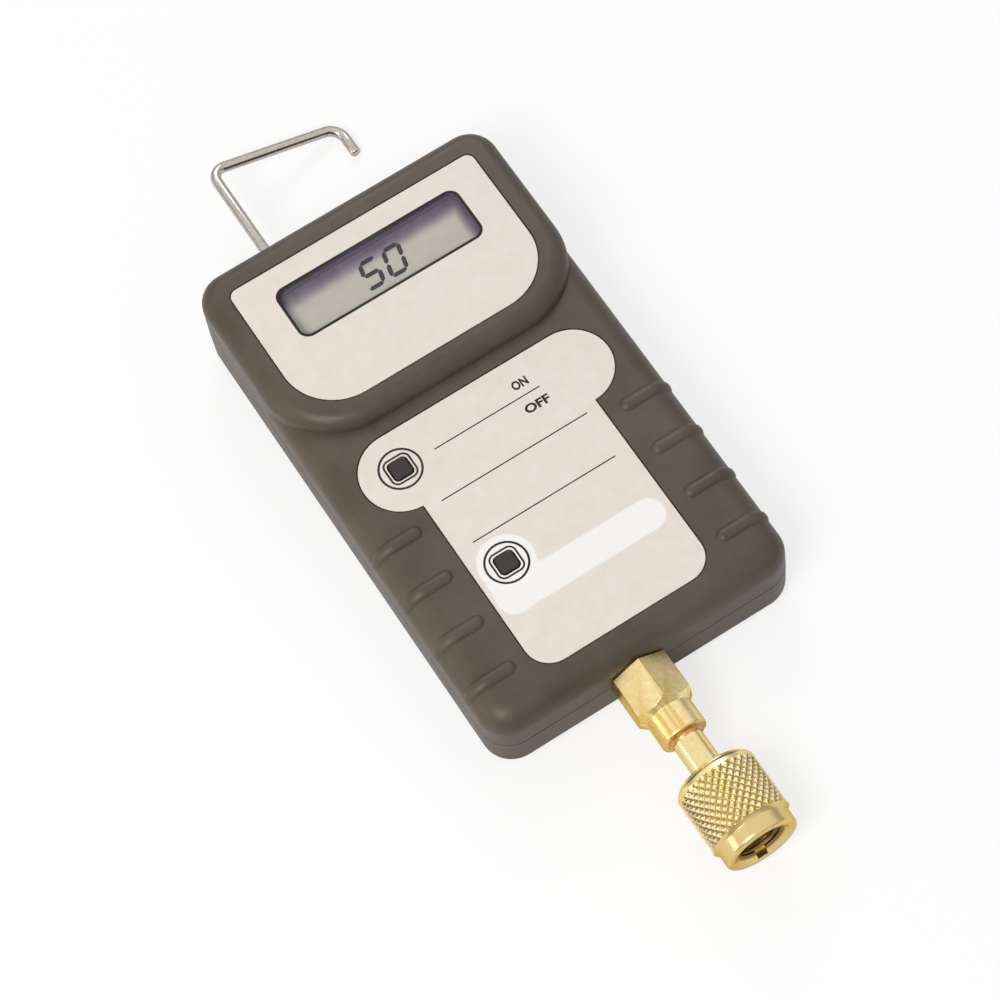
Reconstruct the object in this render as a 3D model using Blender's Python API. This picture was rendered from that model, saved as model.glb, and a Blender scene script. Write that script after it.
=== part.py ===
# Handheld digital vacuum gauge
# The gauge lies on its back: +X to the right of the display, +Y towards the hook, +Z out of the display.
# The origin is the middle of the back face. All sizes are metres.

import math

import bmesh
import bpy
from mathutils import Vector

# Clearance between pieces that touch or slide
GAP = 0.0003

# Moulded case
CASE_WIDTH = 0.0750
CASE_LENGTH = 0.1255
WALL = 0.0020
CORNER_RADIUS = 0.0070
BODY_ROLL = 0.0056
BACK_ROLL = 0.0033
DRAFT = 0.012
PARTING_HEIGHT = 0.0108
SMALLEST_RADIUS = 0.0004

# Battery, whose thickness sets the height of the body
BATTERY_WIDTH = 0.0265
BATTERY_LENGTH = 0.0455
BATTERY_THICKNESS = 0.0170
BATTERY_HEADROOM = 0.0005
BATTERY_EDGE_RADIUS = 0.0020
BATTERY_SIDE_MARGIN = 0.0037
BATTERY_END_MARGIN = 0.00825
TERMINAL_SPACING = 0.0127
TERMINAL_HEIGHT = 0.0030
POSITIVE_RADIUS = 0.0029
NEGATIVE_RADIUS = 0.0042
SNAP_THICKNESS = 0.0040
SNAP_HEIGHT = 0.0130
BAY_WALL = 0.0011
BAY_WALL_TOP_CLEARANCE = 0.0007

HALF_WIDTH = CASE_WIDTH / 2
HALF_LENGTH = CASE_LENGTH / 2
BODY_HEIGHT = WALL + BATTERY_THICKNESS + BATTERY_HEADROOM + WALL

# Raised display head
HEAD_STEP = 0.0039
HEAD_LENGTH = 0.04985
HEAD_LOW_RADIUS = 0.0180
HEAD_FRONT_WALL = 0.0024
HEAD_EXTRA_SIDE_WALL = 0.0002
HEAD_HEIGHT = BODY_HEIGHT + HEAD_STEP
HEAD_LOW_EDGE = HALF_LENGTH - HEAD_LENGTH

# Interlocking lip at the parting line
LIP_HEIGHT = 0.0008
LIP_INSET = 0.0012

# Grip ribs on the front
RIB_COUNT = 4
RIB_END_DISTANCE = 0.01175
RIB_PITCH = 0.01235
RIB_RADIUS = 0.0019
RIB_HEIGHT = 0.0010
RIB_REACH = 0.0127
RIB_DROP = 0.0012
RIB_FADE = 3

# Overlays in their recesses
LABEL_THICKNESS = 0.0003
HEAD_LABEL_SIDE_MARGIN = 0.00635
HEAD_LABEL_LOW_MARGIN = 0.0058
HEAD_LABEL_HIGH_MARGIN = 0.00675
HEAD_LABEL_LOW_RADIUS = 0.0130
HEAD_LABEL_HIGH_RADIUS = 0.0020
KEYPAD_SIDE_MARGIN = 0.01576
KEYPAD_LOW_MARGIN = 0.00691
KEYPAD_LOW_RADIUS = 0.0060
KEYPAD_TO_HEAD = 0.00355
KEYPAD_LEFT_LOBE_RADIUS = 0.00945
KEYPAD_LEFT_LOBE_MARGIN = 0.00675
KEYPAD_RIGHT_LOBE_RADIUS = 0.00925
KEYPAD_RIGHT_LOBE_MARGIN = 0.0065

# Display
DISPLAY_X = 0.0002
DISPLAY_FROM_TOP = 0.01915
VIEW_SIDE_MARGIN = 0.00845
VIEW_HEIGHT = 0.0127
VIEW_RADIUS = 0.0020
WINDOW_OVERLAP = 0.0008
WINDOW_THICKNESS = 0.0010
GLASS_SIDE_MARGIN = 0.0033
GLASS_END_MARGIN = 0.0028
GLASS_THICKNESS = 0.0022
FRAME_WALL = 0.0010
STRIP_END_MARGIN = 0.0020
STRIP_THICKNESS = 0.0020
STRIP_EDGE_DISTANCE = 0.0011
FRAME_RIB = 0.0012

# Circuit board
BOARD_THICKNESS = 0.0016
BOARD_SIDE_CLEARANCE = 0.0025
BOARD_TO_BAY = 0.0004
BOARD_HIGH_CLEARANCE = 0.00675
BOARD_CORNER_CUT = 0.0030
BOARD_TO_BATTERY = 0.0033
BOARD_NOTCH_DEPTH = 0.0060
BOARD_POST_RADIUS = 0.0022
BOARD_POST_HOLE = 0.0011
BOARD_SCREW_RADIUS = 0.0008
BOARD_SCREW_HEAD_RADIUS = 0.0020
BOARD_SCREW_HEAD_HEIGHT = 0.0015
BOARD_SCREW_BITE = 0.0045
BOARD_POST_EDGE = 0.0025
BOARD_UPPER_POST_TO_FRAME = 0.0072
BOARD_LOWER_POST_END = 0.0080
BOARD_INNER_POST_END = 0.0240
BOARD_INNER_POST_EDGE = 0.0035

# Parts under the board
PROCESSOR_SIDE = 0.0140
PROCESSOR_HEIGHT = 0.0017
AMPLIFIER_WIDTH = 0.0050
AMPLIFIER_LENGTH = 0.0062
AMPLIFIER_HEIGHT = 0.0017
AMPLIFIER_EDGE = 0.0180
AMPLIFIER_END = 0.0140
CRYSTAL_WIDTH = 0.0046
CRYSTAL_LENGTH = 0.0110
CRYSTAL_HEIGHT = 0.0035
CAPACITOR_RADIUS = 0.0025
CAPACITOR_HEIGHT = 0.0055
PART_SPACING = 0.0040

# Push buttons and their switches
UPPER_BUTTON_ABOVE_LOBE = 0.0006
LOWER_BUTTON_FROM_SIDE = 0.00754
LOWER_BUTTON_FROM_LOW = 0.02514
KEY_SIDE = 0.0044
KEY_RADIUS = 0.0009
KEY_PROUD = 0.0004
KEY_FLANGE_RADIUS = 0.0040
KEY_FLANGE_THICKNESS = 0.0007
KEY_BOSS_RADIUS = 0.0015
KEY_BOSS_HEIGHT = 0.0009
KEY_TRAVEL = 0.0005
SWITCH_SIDE = 0.0060
SWITCH_HEIGHT = 0.0034
SWITCH_FLOOR = 0.0009
STEM_RADIUS = 0.0017

# Case screws from the back
CASE_SCREW_X_INSET = 0.0065
CASE_SCREW_Y_INSET = 0.00615
CASE_SCREW_RADIUS = 0.00125
CASE_SCREW_HEAD_RADIUS = 0.0027
CASE_SCREW_HEAD_HEIGHT = 0.0020
CASE_SCREW_SINK = 0.0030
CASE_SCREW_DOME_SHARE = 0.8
CASE_SCREW_CROSS_SHARE = 0.55
CASE_SCREW_BITE = 0.0060
CASE_BOSS_RADIUS = 0.0030
CASE_BOSS_FOOT_RADIUS = 0.0043
CASE_BOSS_FOOT_TOP = 0.0015

# Battery door
TONGUE_SPACING = 0.0120
TONGUE_WIDTH = 0.0040
TONGUE_LENGTH = 0.0013
TONGUE_THICKNESS = 0.0006
DOOR_LIP = 0.0008
FINGER_NOTCH_WIDTH = 0.0120
FINGER_NOTCH_LENGTH = 0.0040
FINGER_NOTCH_DEPTH = 0.0011
DOOR_GRIP_COUNT = 5
DOOR_GRIP_PITCH = 0.0016
DOOR_GRIP_WIDTH = 0.0007
DOOR_GRIP_DEPTH = 0.0005
DOOR_GRIP_LENGTH = 0.0140
DOOR_GRIP_EDGE = 0.0030

# Brass fitting through the bottom end wall
FITTING_RISE = 0.00005
HEX_ACROSS_FLATS = 0.0127
HEX_LENGTH = 0.0094
HEX_CHAMFER = 0.0019
SHANK_RADIUS = 0.00555
SHANK_TO_BAY = 0.00115
SHANK_LENGTH = 0.01875
SENSOR_BORE_RADIUS = 0.0035
SENSOR_BORE_PAST_WALL = 0.0072
SHOULDER_RADIUS = 0.00535
SHOULDER_LENGTH = 0.0063
TUBE_INSERTION = 0.0040
BRAZE_LENGTH = 0.0013
BRAZE_END_RADIUS = 0.0041
FITTING_PAD = 0.0012
FITTING_PAD_MARGIN = 0.0008
WASHER_RADIUS = 0.0076
WASHER_THICKNESS = 0.0008
LOCK_NUT_LENGTH = 0.0040
HEADER_THICKNESS = 0.0020
HEADER_RECESS = 0.0010
HEADER_PIN_RADIUS = 0.00025
BEAD_WIRE_RADIUS = 0.0002
HEADER_PIN_SPACING = 0.00254
HEADER_PIN_LANDING = 0.0020
HEADER_PIN_INNER_LENGTH = 0.0020
BEAD_RADIUS = 0.0009
BEAD_DISTANCE = 0.0066

# Flared inlet tube
TUBE_RADIUS = 0.0035
TUBE_BORE_RADIUS = 0.0024
FLARE_RADIUS = 0.0046
FLARE_LIP = 0.00065

# Knurled coupling nut that turns on the flared tube
NUT_REAR_DISTANCE = 0.0079
NUT_LENGTH = 0.0192
NUT_REAR_WALL = 0.0032
NUT_REAR_RIM_RADIUS = 0.0081
NUT_SHOULDER_LENGTH = 0.0027
NUT_RADIUS = 0.0093
KNURL_DIAMONDS = 30
KNURL_ROWS = 6
KNURL_LENGTH = 0.0120
KNURL_DEPTH = 0.0004
COLLAR_RADIUS = 0.00855
COLLAR_STEP = 0.0008
COLLAR_EDGE = 0.0009
MOUTH_RADIUS = 0.0069
NUT_BORE_RADIUS = 0.00495
MOUTH_CHAMFER = 0.0014
NUT_NOTCH_WIDTH = 0.0024
NUT_NOTCH_DEPTH = 0.0020
GASKET_HOLE_RADIUS = 0.0024
GASKET_THICKNESS = 0.0020
DEPRESSOR_WIDTH = 0.0012
DEPRESSOR_THICKNESS = 0.0008
DEPRESSOR_PIN_RADIUS = 0.0008
DEPRESSOR_PIN_LENGTH = 0.0044

# Hanging hook of bent wire
WIRE_RADIUS = 0.00105
HOOK_FROM_SIDE = 0.0208
HOOK_ABOVE_PARTING = 0.00195
HOOK_REACH = 0.02990
HOOK_BAR_LENGTH = 0.0341
HOOK_TIP_LENGTH = 0.0085
HOOK_BEND_RADIUS = 0.0036
HOOK_INNER_LENGTH = 0.00635
HOOK_SADDLE_RADIUS = 0.0022
HOOK_SADDLE_LENGTH = 0.0026
CLIP_RADIUS = 0.0030
CLIP_THICKNESS = 0.0008

# Battery leads
LEAD_RADIUS = 0.0006
LEAD_SPACING = 0.0030
LEAD_SIDE_STEP = 0.0060

# Fineness of the round forms
CORNER_STEPS = 6
ROLL_STEPS = 5
TURNED_SEGMENTS = 28
SMALL_SEGMENTS = 12
WIRE_SEGMENTS = 10
LEAD_SEGMENTS = 8

# Places that follow from the sizes above
BODY_ROOF = BODY_HEIGHT - WALL
HEAD_ROOF = HEAD_HEIGHT - HEAD_FRONT_WALL
BATTERY_RIGHT = HALF_WIDTH - WALL - BATTERY_SIDE_MARGIN
BATTERY_LEFT = BATTERY_RIGHT - BATTERY_WIDTH
BATTERY_LOW = -HALF_LENGTH + WALL + BATTERY_END_MARGIN
BATTERY_HIGH = BATTERY_LOW + BATTERY_LENGTH
BATTERY_MIDDLE_X = (BATTERY_LEFT + BATTERY_RIGHT) / 2
BATTERY_MIDDLE_Z = WALL + BATTERY_THICKNESS / 2
SNAP_LOW = BATTERY_HIGH + GAP
SNAP_HIGH = SNAP_LOW + SNAP_THICKNESS
BAY_LEFT = BATTERY_LEFT - GAP
BAY_RIGHT = BATTERY_RIGHT + GAP
BAY_LOW = BATTERY_LOW - GAP
BAY_HIGH = SNAP_HIGH + GAP
FITTING_Z = BODY_HEIGHT / 2 + FITTING_RISE
BOARD_BOTTOM = FITTING_Z
BOARD_TOP = BOARD_BOTTOM + BOARD_THICKNESS
ON_BOARD = BOARD_TOP + GAP
UNDER_BOARD = BOARD_BOTTOM - GAP
BOARD_HALF_WIDTH = HALF_WIDTH - WALL - BOARD_SIDE_CLEARANCE
BOARD_INNER_X = BATTERY_LEFT - BOARD_TO_BATTERY
BOARD_STEP_Y = BAY_HIGH + BAY_WALL + BOARD_TO_BAY
BOARD_LOW = -HALF_LENGTH + SHANK_LENGTH
BOARD_HIGH = HALF_LENGTH - WALL - BOARD_HIGH_CLEARANCE
HEAD_LABEL_HALF_WIDTH = HALF_WIDTH - HEAD_LABEL_SIDE_MARGIN
HEAD_LABEL_LOW = HEAD_LOW_EDGE + HEAD_LABEL_LOW_MARGIN
HEAD_LABEL_HIGH = HALF_LENGTH - HEAD_LABEL_HIGH_MARGIN
KEYPAD_HALF_WIDTH = HALF_WIDTH - KEYPAD_SIDE_MARGIN
KEYPAD_LOW = -HALF_LENGTH + KEYPAD_LOW_MARGIN
KEYPAD_HIGH = HEAD_LOW_EDGE - KEYPAD_TO_HEAD
KEYPAD_LEFT_LOBE_X = -HALF_WIDTH + KEYPAD_LEFT_LOBE_MARGIN + KEYPAD_LEFT_LOBE_RADIUS
KEYPAD_LEFT_LOBE_Y = KEYPAD_HIGH - KEYPAD_LEFT_LOBE_RADIUS
KEYPAD_RIGHT_LOBE_X = HALF_WIDTH - KEYPAD_RIGHT_LOBE_MARGIN - KEYPAD_RIGHT_LOBE_RADIUS
KEYPAD_RIGHT_LOBE_Y = KEYPAD_HIGH - KEYPAD_RIGHT_LOBE_RADIUS
UPPER_BUTTON_X = KEYPAD_LEFT_LOBE_X
UPPER_BUTTON_Y = KEYPAD_LEFT_LOBE_Y + UPPER_BUTTON_ABOVE_LOBE
LOWER_BUTTON_X = -KEYPAD_HALF_WIDTH + LOWER_BUTTON_FROM_SIDE
LOWER_BUTTON_Y = KEYPAD_LOW + LOWER_BUTTON_FROM_LOW
RIB_INNER_X = HALF_WIDTH - RIB_REACH
RIB_LAST_Y = -HALF_LENGTH + RIB_END_DISTANCE
DISPLAY_Y = HALF_LENGTH - DISPLAY_FROM_TOP
VIEW_WIDTH = 2 * (HEAD_LABEL_HALF_WIDTH - VIEW_SIDE_MARGIN)
GLASS_WIDTH = VIEW_WIDTH + 2 * GLASS_SIDE_MARGIN
GLASS_HEIGHT = VIEW_HEIGHT + 2 * GLASS_END_MARGIN
STRIP_LENGTH = GLASS_WIDTH - 2 * STRIP_END_MARGIN
FRAME_HALF_WIDTH = GLASS_WIDTH / 2 + GAP + FRAME_WALL
FRAME_HALF_HEIGHT = GLASS_HEIGHT / 2 + GAP + FRAME_WALL
GLASS_TOP = HEAD_ROOF - GAP
GLASS_BOTTOM = GLASS_TOP - GLASS_THICKNESS
STRIP_Y = GLASS_HEIGHT / 2 - STRIP_EDGE_DISTANCE - STRIP_THICKNESS / 2
FITTING_X = BAY_LEFT - BAY_WALL - SHANK_TO_BAY - SHANK_RADIUS
HEX_START = -HALF_LENGTH - GAP
HEX_END = HEX_START - HEX_LENGTH
SHOULDER_START = HEX_END - HEX_CHAMFER
SHOULDER_END = SHOULDER_START - SHOULDER_LENGTH
SHANK_END = -HALF_LENGTH + SHANK_LENGTH
TUBE_START = SHOULDER_END + TUBE_INSERTION
BRAZE_START = SHOULDER_END - GAP
NUT_REAR = BRAZE_START - BRAZE_LENGTH - NUT_REAR_DISTANCE
NUT_FACE = NUT_REAR - NUT_LENGTH
NUT_HOLE_RADIUS = TUBE_RADIUS + GAP
SEAT_Y = NUT_REAR - NUT_REAR_WALL
FLARE_END = SEAT_Y - (FLARE_RADIUS - NUT_HOLE_RADIUS) - GAP * math.sqrt(2) - FLARE_LIP
GASKET_START = FLARE_END - GAP
DEPRESSOR_START = GASKET_START - GASKET_THICKNESS - GAP
HOOK_X = -HALF_WIDTH + HOOK_FROM_SIDE
HOOK_Z = PARTING_HEIGHT + HOOK_ABOVE_PARTING
HOOK_BAR_Y = HALF_LENGTH + HOOK_REACH


# Building blocks

def surface(name, colour, roughness, metallic=0.0):
    """A Principled material."""
    made = bpy.data.materials.new(name)
    made.use_nodes = True
    shader = made.node_tree.nodes["Principled BSDF"]
    shader.inputs["Base Color"].default_value = (*colour, 1.0)
    shader.inputs["Roughness"].default_value = roughness
    shader.inputs["Metallic"].default_value = metallic
    made.diffuse_color = (*colour, 1.0)
    return made


def solid(name, shape, finish=None, origin=(0.0, 0.0, 0.0)):
    """One object from points and faces, with its origin at the given place."""
    points, faces = shape
    place = Vector(origin)
    mesh = bpy.data.meshes.new(name)
    mesh.from_pydata([Vector(point) - place for point in points], [], faces)
    work = bmesh.new()
    work.from_mesh(mesh)
    bmesh.ops.recalc_face_normals(work, faces=work.faces)
    work.to_mesh(mesh)
    work.free()
    mesh.shade_smooth()
    mesh.set_sharp_from_angle(angle=math.radians(35))
    if finish:
        mesh.materials.append(finish)
    item = bpy.data.objects.new(name, mesh)
    item.location = place
    bpy.context.scene.collection.objects.link(item)
    return item


def combine(item, shapes, operation, label):
    """Join shapes to an object, cut them out of it or keep what they share with it."""
    for number, shape in enumerate(shapes, 1):
        tool = solid(f"{item.name}.{label}.{number}", shape)
        tool.hide_render = True
        tool.display_type = "WIRE"
        step = item.modifiers.new(f"{label} {number}", "BOOLEAN")
        step.operation = operation
        step.solver = "EXACT"
        step.object = tool


def join(item, shapes, label="join"):
    combine(item, shapes, "UNION", label)


def cut(item, shapes, label="cut"):
    combine(item, shapes, "DIFFERENCE", label)


def arc(centre, radius, start, end, steps):
    """Points of a flat arc between two angles in degrees."""
    angles = [math.radians(start + (end - start) * step / steps) for step in range(steps + 1)]
    return [(centre[0] + radius * math.cos(a), centre[1] + radius * math.sin(a)) for a in angles]


def rounded_rectangle(x_low, x_high, y_low, y_high, low_radius, high_radius=None, steps=CORNER_STEPS):
    """Anticlockwise outline whose low and high corners have their own radius."""
    low = max(low_radius, SMALLEST_RADIUS)
    high = low if high_radius is None else max(high_radius, SMALLEST_RADIUS)
    outline = arc((x_low + low, y_low + low), low, 180, 270, steps)
    outline += arc((x_high - low, y_low + low), low, 270, 360, steps)
    outline += arc((x_high - high, y_high - high), high, 0, 90, steps)
    outline += arc((x_low + high, y_high - high), high, 90, 180, steps)
    return outline


def loft(rings):
    """Closed body through rings that have the same number of points."""
    count = len(rings[0])
    points = [point for ring in rings for point in ring]
    faces = [tuple(reversed(range(count))), tuple(range(len(points) - count, len(points)))]
    for level in range(len(rings) - 1):
        for step in range(count):
            near = level * count + step
            beside = level * count + (step + 1) % count
            faces.append((near, beside, beside + count, near + count))
    return points, faces


def slab(outline, low, high):
    """Flat outline raised along Z."""
    return loft([[(x, y, z) for x, y in outline] for z in (low, high)])


def slab_along_y(outline, low, high):
    """Outline in the XZ plane drawn along Y."""
    return loft([[(x, y, z) for x, z in outline] for y in (low, high)])


def box(x_low, x_high, y_low, y_high, z_low, z_high):
    return slab([(x_low, y_low), (x_high, y_low), (x_high, y_high), (x_low, y_high)], z_low, z_high)


def turned(profile, place, segments, closed=False):
    """Body of revolution. The profile is pairs of radius and distance along the axis, and place
    turns a radius, an angle and a distance into a point. A closed profile goes round to its start."""
    rings = []
    points = []
    for radius, along in profile:
        count = segments if radius > 0 else 1
        rings.append([len(points) + step for step in range(count)])
        points += [place(radius, 2 * math.pi * step / segments, along) for step in range(count)]
    pairs = list(zip(rings, rings[1:] + rings[:1] if closed else rings[1:]))
    faces = []
    for near, far in pairs:
        for step in range(segments):
            beside = (step + 1) % segments
            face = [near[step % len(near)], near[beside % len(near)], far[beside % len(far)], far[step % len(far)]]
            faces.append(tuple(dict.fromkeys(face)))
    return points, faces


def about_z(x, y, start=0.0):
    """Turning about an upright axis, from a starting angle."""
    return lambda radius, angle, along: (x + radius * math.cos(angle + start),
                                         y + radius * math.sin(angle + start), along)


def about_y(x, z):
    """Turning about an axis along the length of the gauge."""
    return lambda radius, angle, along: (x + radius * math.cos(angle), along, z + radius * math.sin(angle))


def rod(radius, low, high, place, segments=SMALL_SEGMENTS):
    """Plain cylinder."""
    return turned([(0, low), (radius, low), (radius, high), (0, high)], place, segments)


def tube(inner, outer, low, high, place, segments=TURNED_SEGMENTS):
    """Plain ring."""
    return turned([(inner, low), (outer, low), (outer, high), (inner, high)], place, segments, True)


def swept(path, radii, sides):
    """Round bar along a path, with a radius for each of its points."""
    path = [Vector(point) for point in path]
    rings = []
    side = None
    for number, point in enumerate(path):
        before = path[max(number - 1, 0)]
        after = path[min(number + 1, len(path) - 1)]
        forward = (after - before).normalized()
        if side is None:
            side = forward.orthogonal().normalized()
        side = (side - forward * side.dot(forward)).normalized()
        across = forward.cross(side)
        angles = [2 * math.pi * step / sides for step in range(sides)]
        rings.append([tuple(point + radii[number] * (math.cos(a) * side + math.sin(a) * across)) for a in angles])
    return loft(rings)


def smooth_route(points, steps):
    """Points along one smooth curve through the given ones."""
    ends = [points[0]] + list(points) + [points[-1]]
    route = []
    for number in range(len(points) - 1):
        a, b, c, d = (Vector(point) for point in ends[number:number + 4])
        for step in range(steps):
            t = step / steps
            route.append(0.5 * (2 * b + (c - a) * t + (2 * a - 5 * b + 4 * c - d) * t ** 2
                                + (3 * b - a - 3 * c + d) * t ** 3))
    return route + [Vector(points[-1])]


# Outlines shared by pieces that fit each other

def case_outline(inset):
    radius = CORNER_RADIUS - inset
    return rounded_rectangle(-HALF_WIDTH + inset, HALF_WIDTH - inset,
                             -HALF_LENGTH + inset, HALF_LENGTH - inset, radius)


def head_outline(inset):
    """One more step a corner than the case, so that no edge of the head lies along one of the case."""
    return rounded_rectangle(-HALF_WIDTH + inset, HALF_WIDTH - inset, HEAD_LOW_EDGE + inset, HALF_LENGTH - inset,
                             HEAD_LOW_RADIUS - inset, CORNER_RADIUS - inset, CORNER_STEPS + 1)


def keypad_outline(grow):
    """T-shaped overlay: two round lobes at the top and a narrower lower part."""
    side = KEYPAD_HALF_WIDTH + grow
    low = KEYPAD_LOW - grow
    corner = KEYPAD_LOW_RADIUS + grow
    left_lobe = KEYPAD_LEFT_LOBE_RADIUS + grow
    right_lobe = KEYPAD_RIGHT_LOBE_RADIUS + grow
    left_turn = math.degrees(math.asin((side + KEYPAD_LEFT_LOBE_X) / left_lobe))
    right_turn = math.degrees(math.asin((side - KEYPAD_RIGHT_LOBE_X) / right_lobe))
    outline = arc((-side + corner, low + corner), corner, 180, 270, CORNER_STEPS)
    outline += arc((side - corner, low + corner), corner, 270, 360, CORNER_STEPS)
    outline += arc((KEYPAD_RIGHT_LOBE_X, KEYPAD_RIGHT_LOBE_Y), right_lobe, right_turn - 90, 90, 2 * CORNER_STEPS)
    outline += arc((KEYPAD_LEFT_LOBE_X, KEYPAD_LEFT_LOBE_Y), left_lobe, 90, 270 - left_turn, 2 * CORNER_STEPS)
    return outline


def head_label_outline(grow):
    return rounded_rectangle(-HEAD_LABEL_HALF_WIDTH - grow, HEAD_LABEL_HALF_WIDTH + grow,
                             HEAD_LABEL_LOW - grow, HEAD_LABEL_HIGH + grow,
                             HEAD_LABEL_LOW_RADIUS + grow, HEAD_LABEL_HIGH_RADIUS + grow)


def view_outline(grow):
    """Display opening, grown on every side."""
    return rounded_rectangle(DISPLAY_X - VIEW_WIDTH / 2 - grow, DISPLAY_X + VIEW_WIDTH / 2 + grow,
                             DISPLAY_Y - VIEW_HEIGHT / 2 - grow, DISPLAY_Y + VIEW_HEIGHT / 2 + grow,
                             VIEW_RADIUS + grow)


def key_outline(x, y, grow):
    half = KEY_SIDE / 2 + grow
    return rounded_rectangle(x - half, x + half, y - half, y + half, KEY_RADIUS + grow)


def hexagon(across_flats, x, z):
    """Hexagon in the XZ plane with a corner at the top."""
    radius = across_flats / math.sqrt(3)
    return arc((x, z), radius, 90, 390, 5)


def arch(x, z, radius, foot, side=1):
    """Part of a disc in the XZ plane, above its foot, or below it for side -1. Where the foot lies past
    the middle, straight sides run down to it."""
    past = math.degrees(math.asin(max(side * (foot - z), 0) / radius))
    start = past if side > 0 else 180 + past
    outline = arc((x, z), radius, start, start + 180 - 2 * past, 2 * CORNER_STEPS)
    if past > 0:
        return outline
    return outline + [(outline[-1][0], foot), (outline[0][0], foot)]


def fitting_pad(foot, side):
    """Flat pad that the fitting's washer bears on, inside the end wall."""
    wall = -HALF_LENGTH + WALL
    return slab_along_y(arch(FITTING_X, FITTING_Z, WASHER_RADIUS + FITTING_PAD_MARGIN, foot, side),
                        wall - GAP, wall + FITTING_PAD)


def button_places():
    return ((UPPER_BUTTON_X, UPPER_BUTTON_Y), (LOWER_BUTTON_X, LOWER_BUTTON_Y))


def case_screw_places():
    x = HALF_WIDTH - CASE_SCREW_X_INSET
    y = HALF_LENGTH - CASE_SCREW_Y_INSET
    return ((-x, -y), (x, -y), (x, y), (-x, y))


def board_screw_places():
    """Middle of each board post, and the roof that it stands on."""
    side = BOARD_HALF_WIDTH - BOARD_POST_EDGE
    upper = DISPLAY_Y - FRAME_HALF_HEIGHT - BOARD_UPPER_POST_TO_FRAME
    return ((-side, upper, HEAD_ROOF), (side, upper, HEAD_ROOF),
            (-side, BOARD_LOW + BOARD_LOWER_POST_END, BODY_ROOF),
            (BOARD_INNER_X - BOARD_INNER_POST_EDGE, BOARD_LOW + BOARD_INNER_POST_END, BODY_ROOF))


# Case

def rolled_shell(outline, wall_end, face, roll):
    """Drafted wall that rolls over to a flat face. The face may lie above or below the wall."""
    side = 1 if face > wall_end else -1
    roll = max(roll, SMALLEST_RADIUS)
    bend = face - side * roll
    inset = DRAFT * abs(bend - wall_end)
    rings = [[(x, y, wall_end) for x, y in outline(0)]]
    for step in range(ROLL_STEPS + 1):
        turn = math.pi / 2 * step / ROLL_STEPS
        z = bend + side * roll * math.sin(turn)
        rings.append([(x, y, z) for x, y in outline(inset + roll * (1 - math.cos(turn)))])
    return loft(rings)


def head_shell():
    """Raised head. It leaves the body's wall just above the start of the body's roll."""
    root = BODY_HEIGHT - BODY_ROLL - 2 * LIP_HEIGHT
    emerge = BODY_HEIGHT - BODY_ROLL + GAP
    levels = [(root, DRAFT * (root - PARTING_HEIGHT) + GAP), (emerge, DRAFT * (emerge - PARTING_HEIGHT))]
    inset = DRAFT * (BODY_HEIGHT - PARTING_HEIGHT)
    for step in range(ROLL_STEPS + 1):
        turn = math.pi / 2 * step / ROLL_STEPS
        levels.append((BODY_HEIGHT + HEAD_STEP * math.sin(turn), inset + HEAD_STEP * (1 - math.cos(turn))))
    return loft([[(x, y, z) for x, y in head_outline(in_by)] for z, in_by in levels])


def head_hollow():
    """Space inside the head, open to the space inside the body."""
    inner = WALL + HEAD_EXTRA_SIDE_WALL
    roll = max(HEAD_STEP - inner, SMALLEST_RADIUS)
    inset = inner + DRAFT * (BODY_HEIGHT - PARTING_HEIGHT)
    levels = [(BODY_ROOF - BODY_ROLL / 2, inset + WALL / 2), (BODY_ROOF - WALL / 2, inset)]
    for step in range(ROLL_STEPS + 1):
        turn = math.pi / 2 * step / ROLL_STEPS
        levels.append((HEAD_ROOF - roll + roll * math.sin(turn), inset + roll * (1 - math.cos(turn))))
    return loft([[(x, y, z) for x, y in head_outline(in_by)] for z, in_by in levels])


def grip_rib(side, y):
    """Half-round rib that runs outwards, over the roll, and sinks into the side wall."""
    sunk = RIB_RADIUS - RIB_HEIGHT
    level = BODY_HEIGHT - sunk
    bend_x = HALF_WIDTH - DRAFT * (BODY_HEIGHT - PARTING_HEIGHT) - BODY_ROLL
    bend_z = BODY_HEIGHT - BODY_ROLL
    path = []
    radii = []
    for turn in (90, 60, 30):
        path.append((RIB_INNER_X + RIB_RADIUS * (1 - math.sin(math.radians(turn))), level))
        radii.append(max(RIB_RADIUS * math.cos(math.radians(turn)), SMALLEST_RADIUS / 4))
    for step in range(ROLL_STEPS + 1):
        share = step / ROLL_STEPS
        turn = math.pi / 2 * share
        radius = BODY_ROLL - sunk - RIB_HEIGHT * share ** RIB_FADE
        path.append((bend_x + radius * math.sin(turn), bend_z + radius * math.cos(turn)))
        radii.append(RIB_RADIUS)
    path.append((path[-1][0] - RIB_RADIUS / 3, bend_z - RIB_DROP))
    radii.append(RIB_RADIUS)
    return swept([(side * x, y, z) for x, z in path], radii, SMALL_SEGMENTS)


def screw_post(x, y, radius, hole, low, bite, roof):
    """Post that hangs from the roof, with a blind hole for its screw."""
    depth = low + bite + GAP
    profile = [(0, depth), (hole, depth), (hole, low), (radius, low), (radius, roof + GAP), (0, roof + GAP)]
    return turned(profile, about_z(x, y), SMALL_SEGMENTS)


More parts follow.
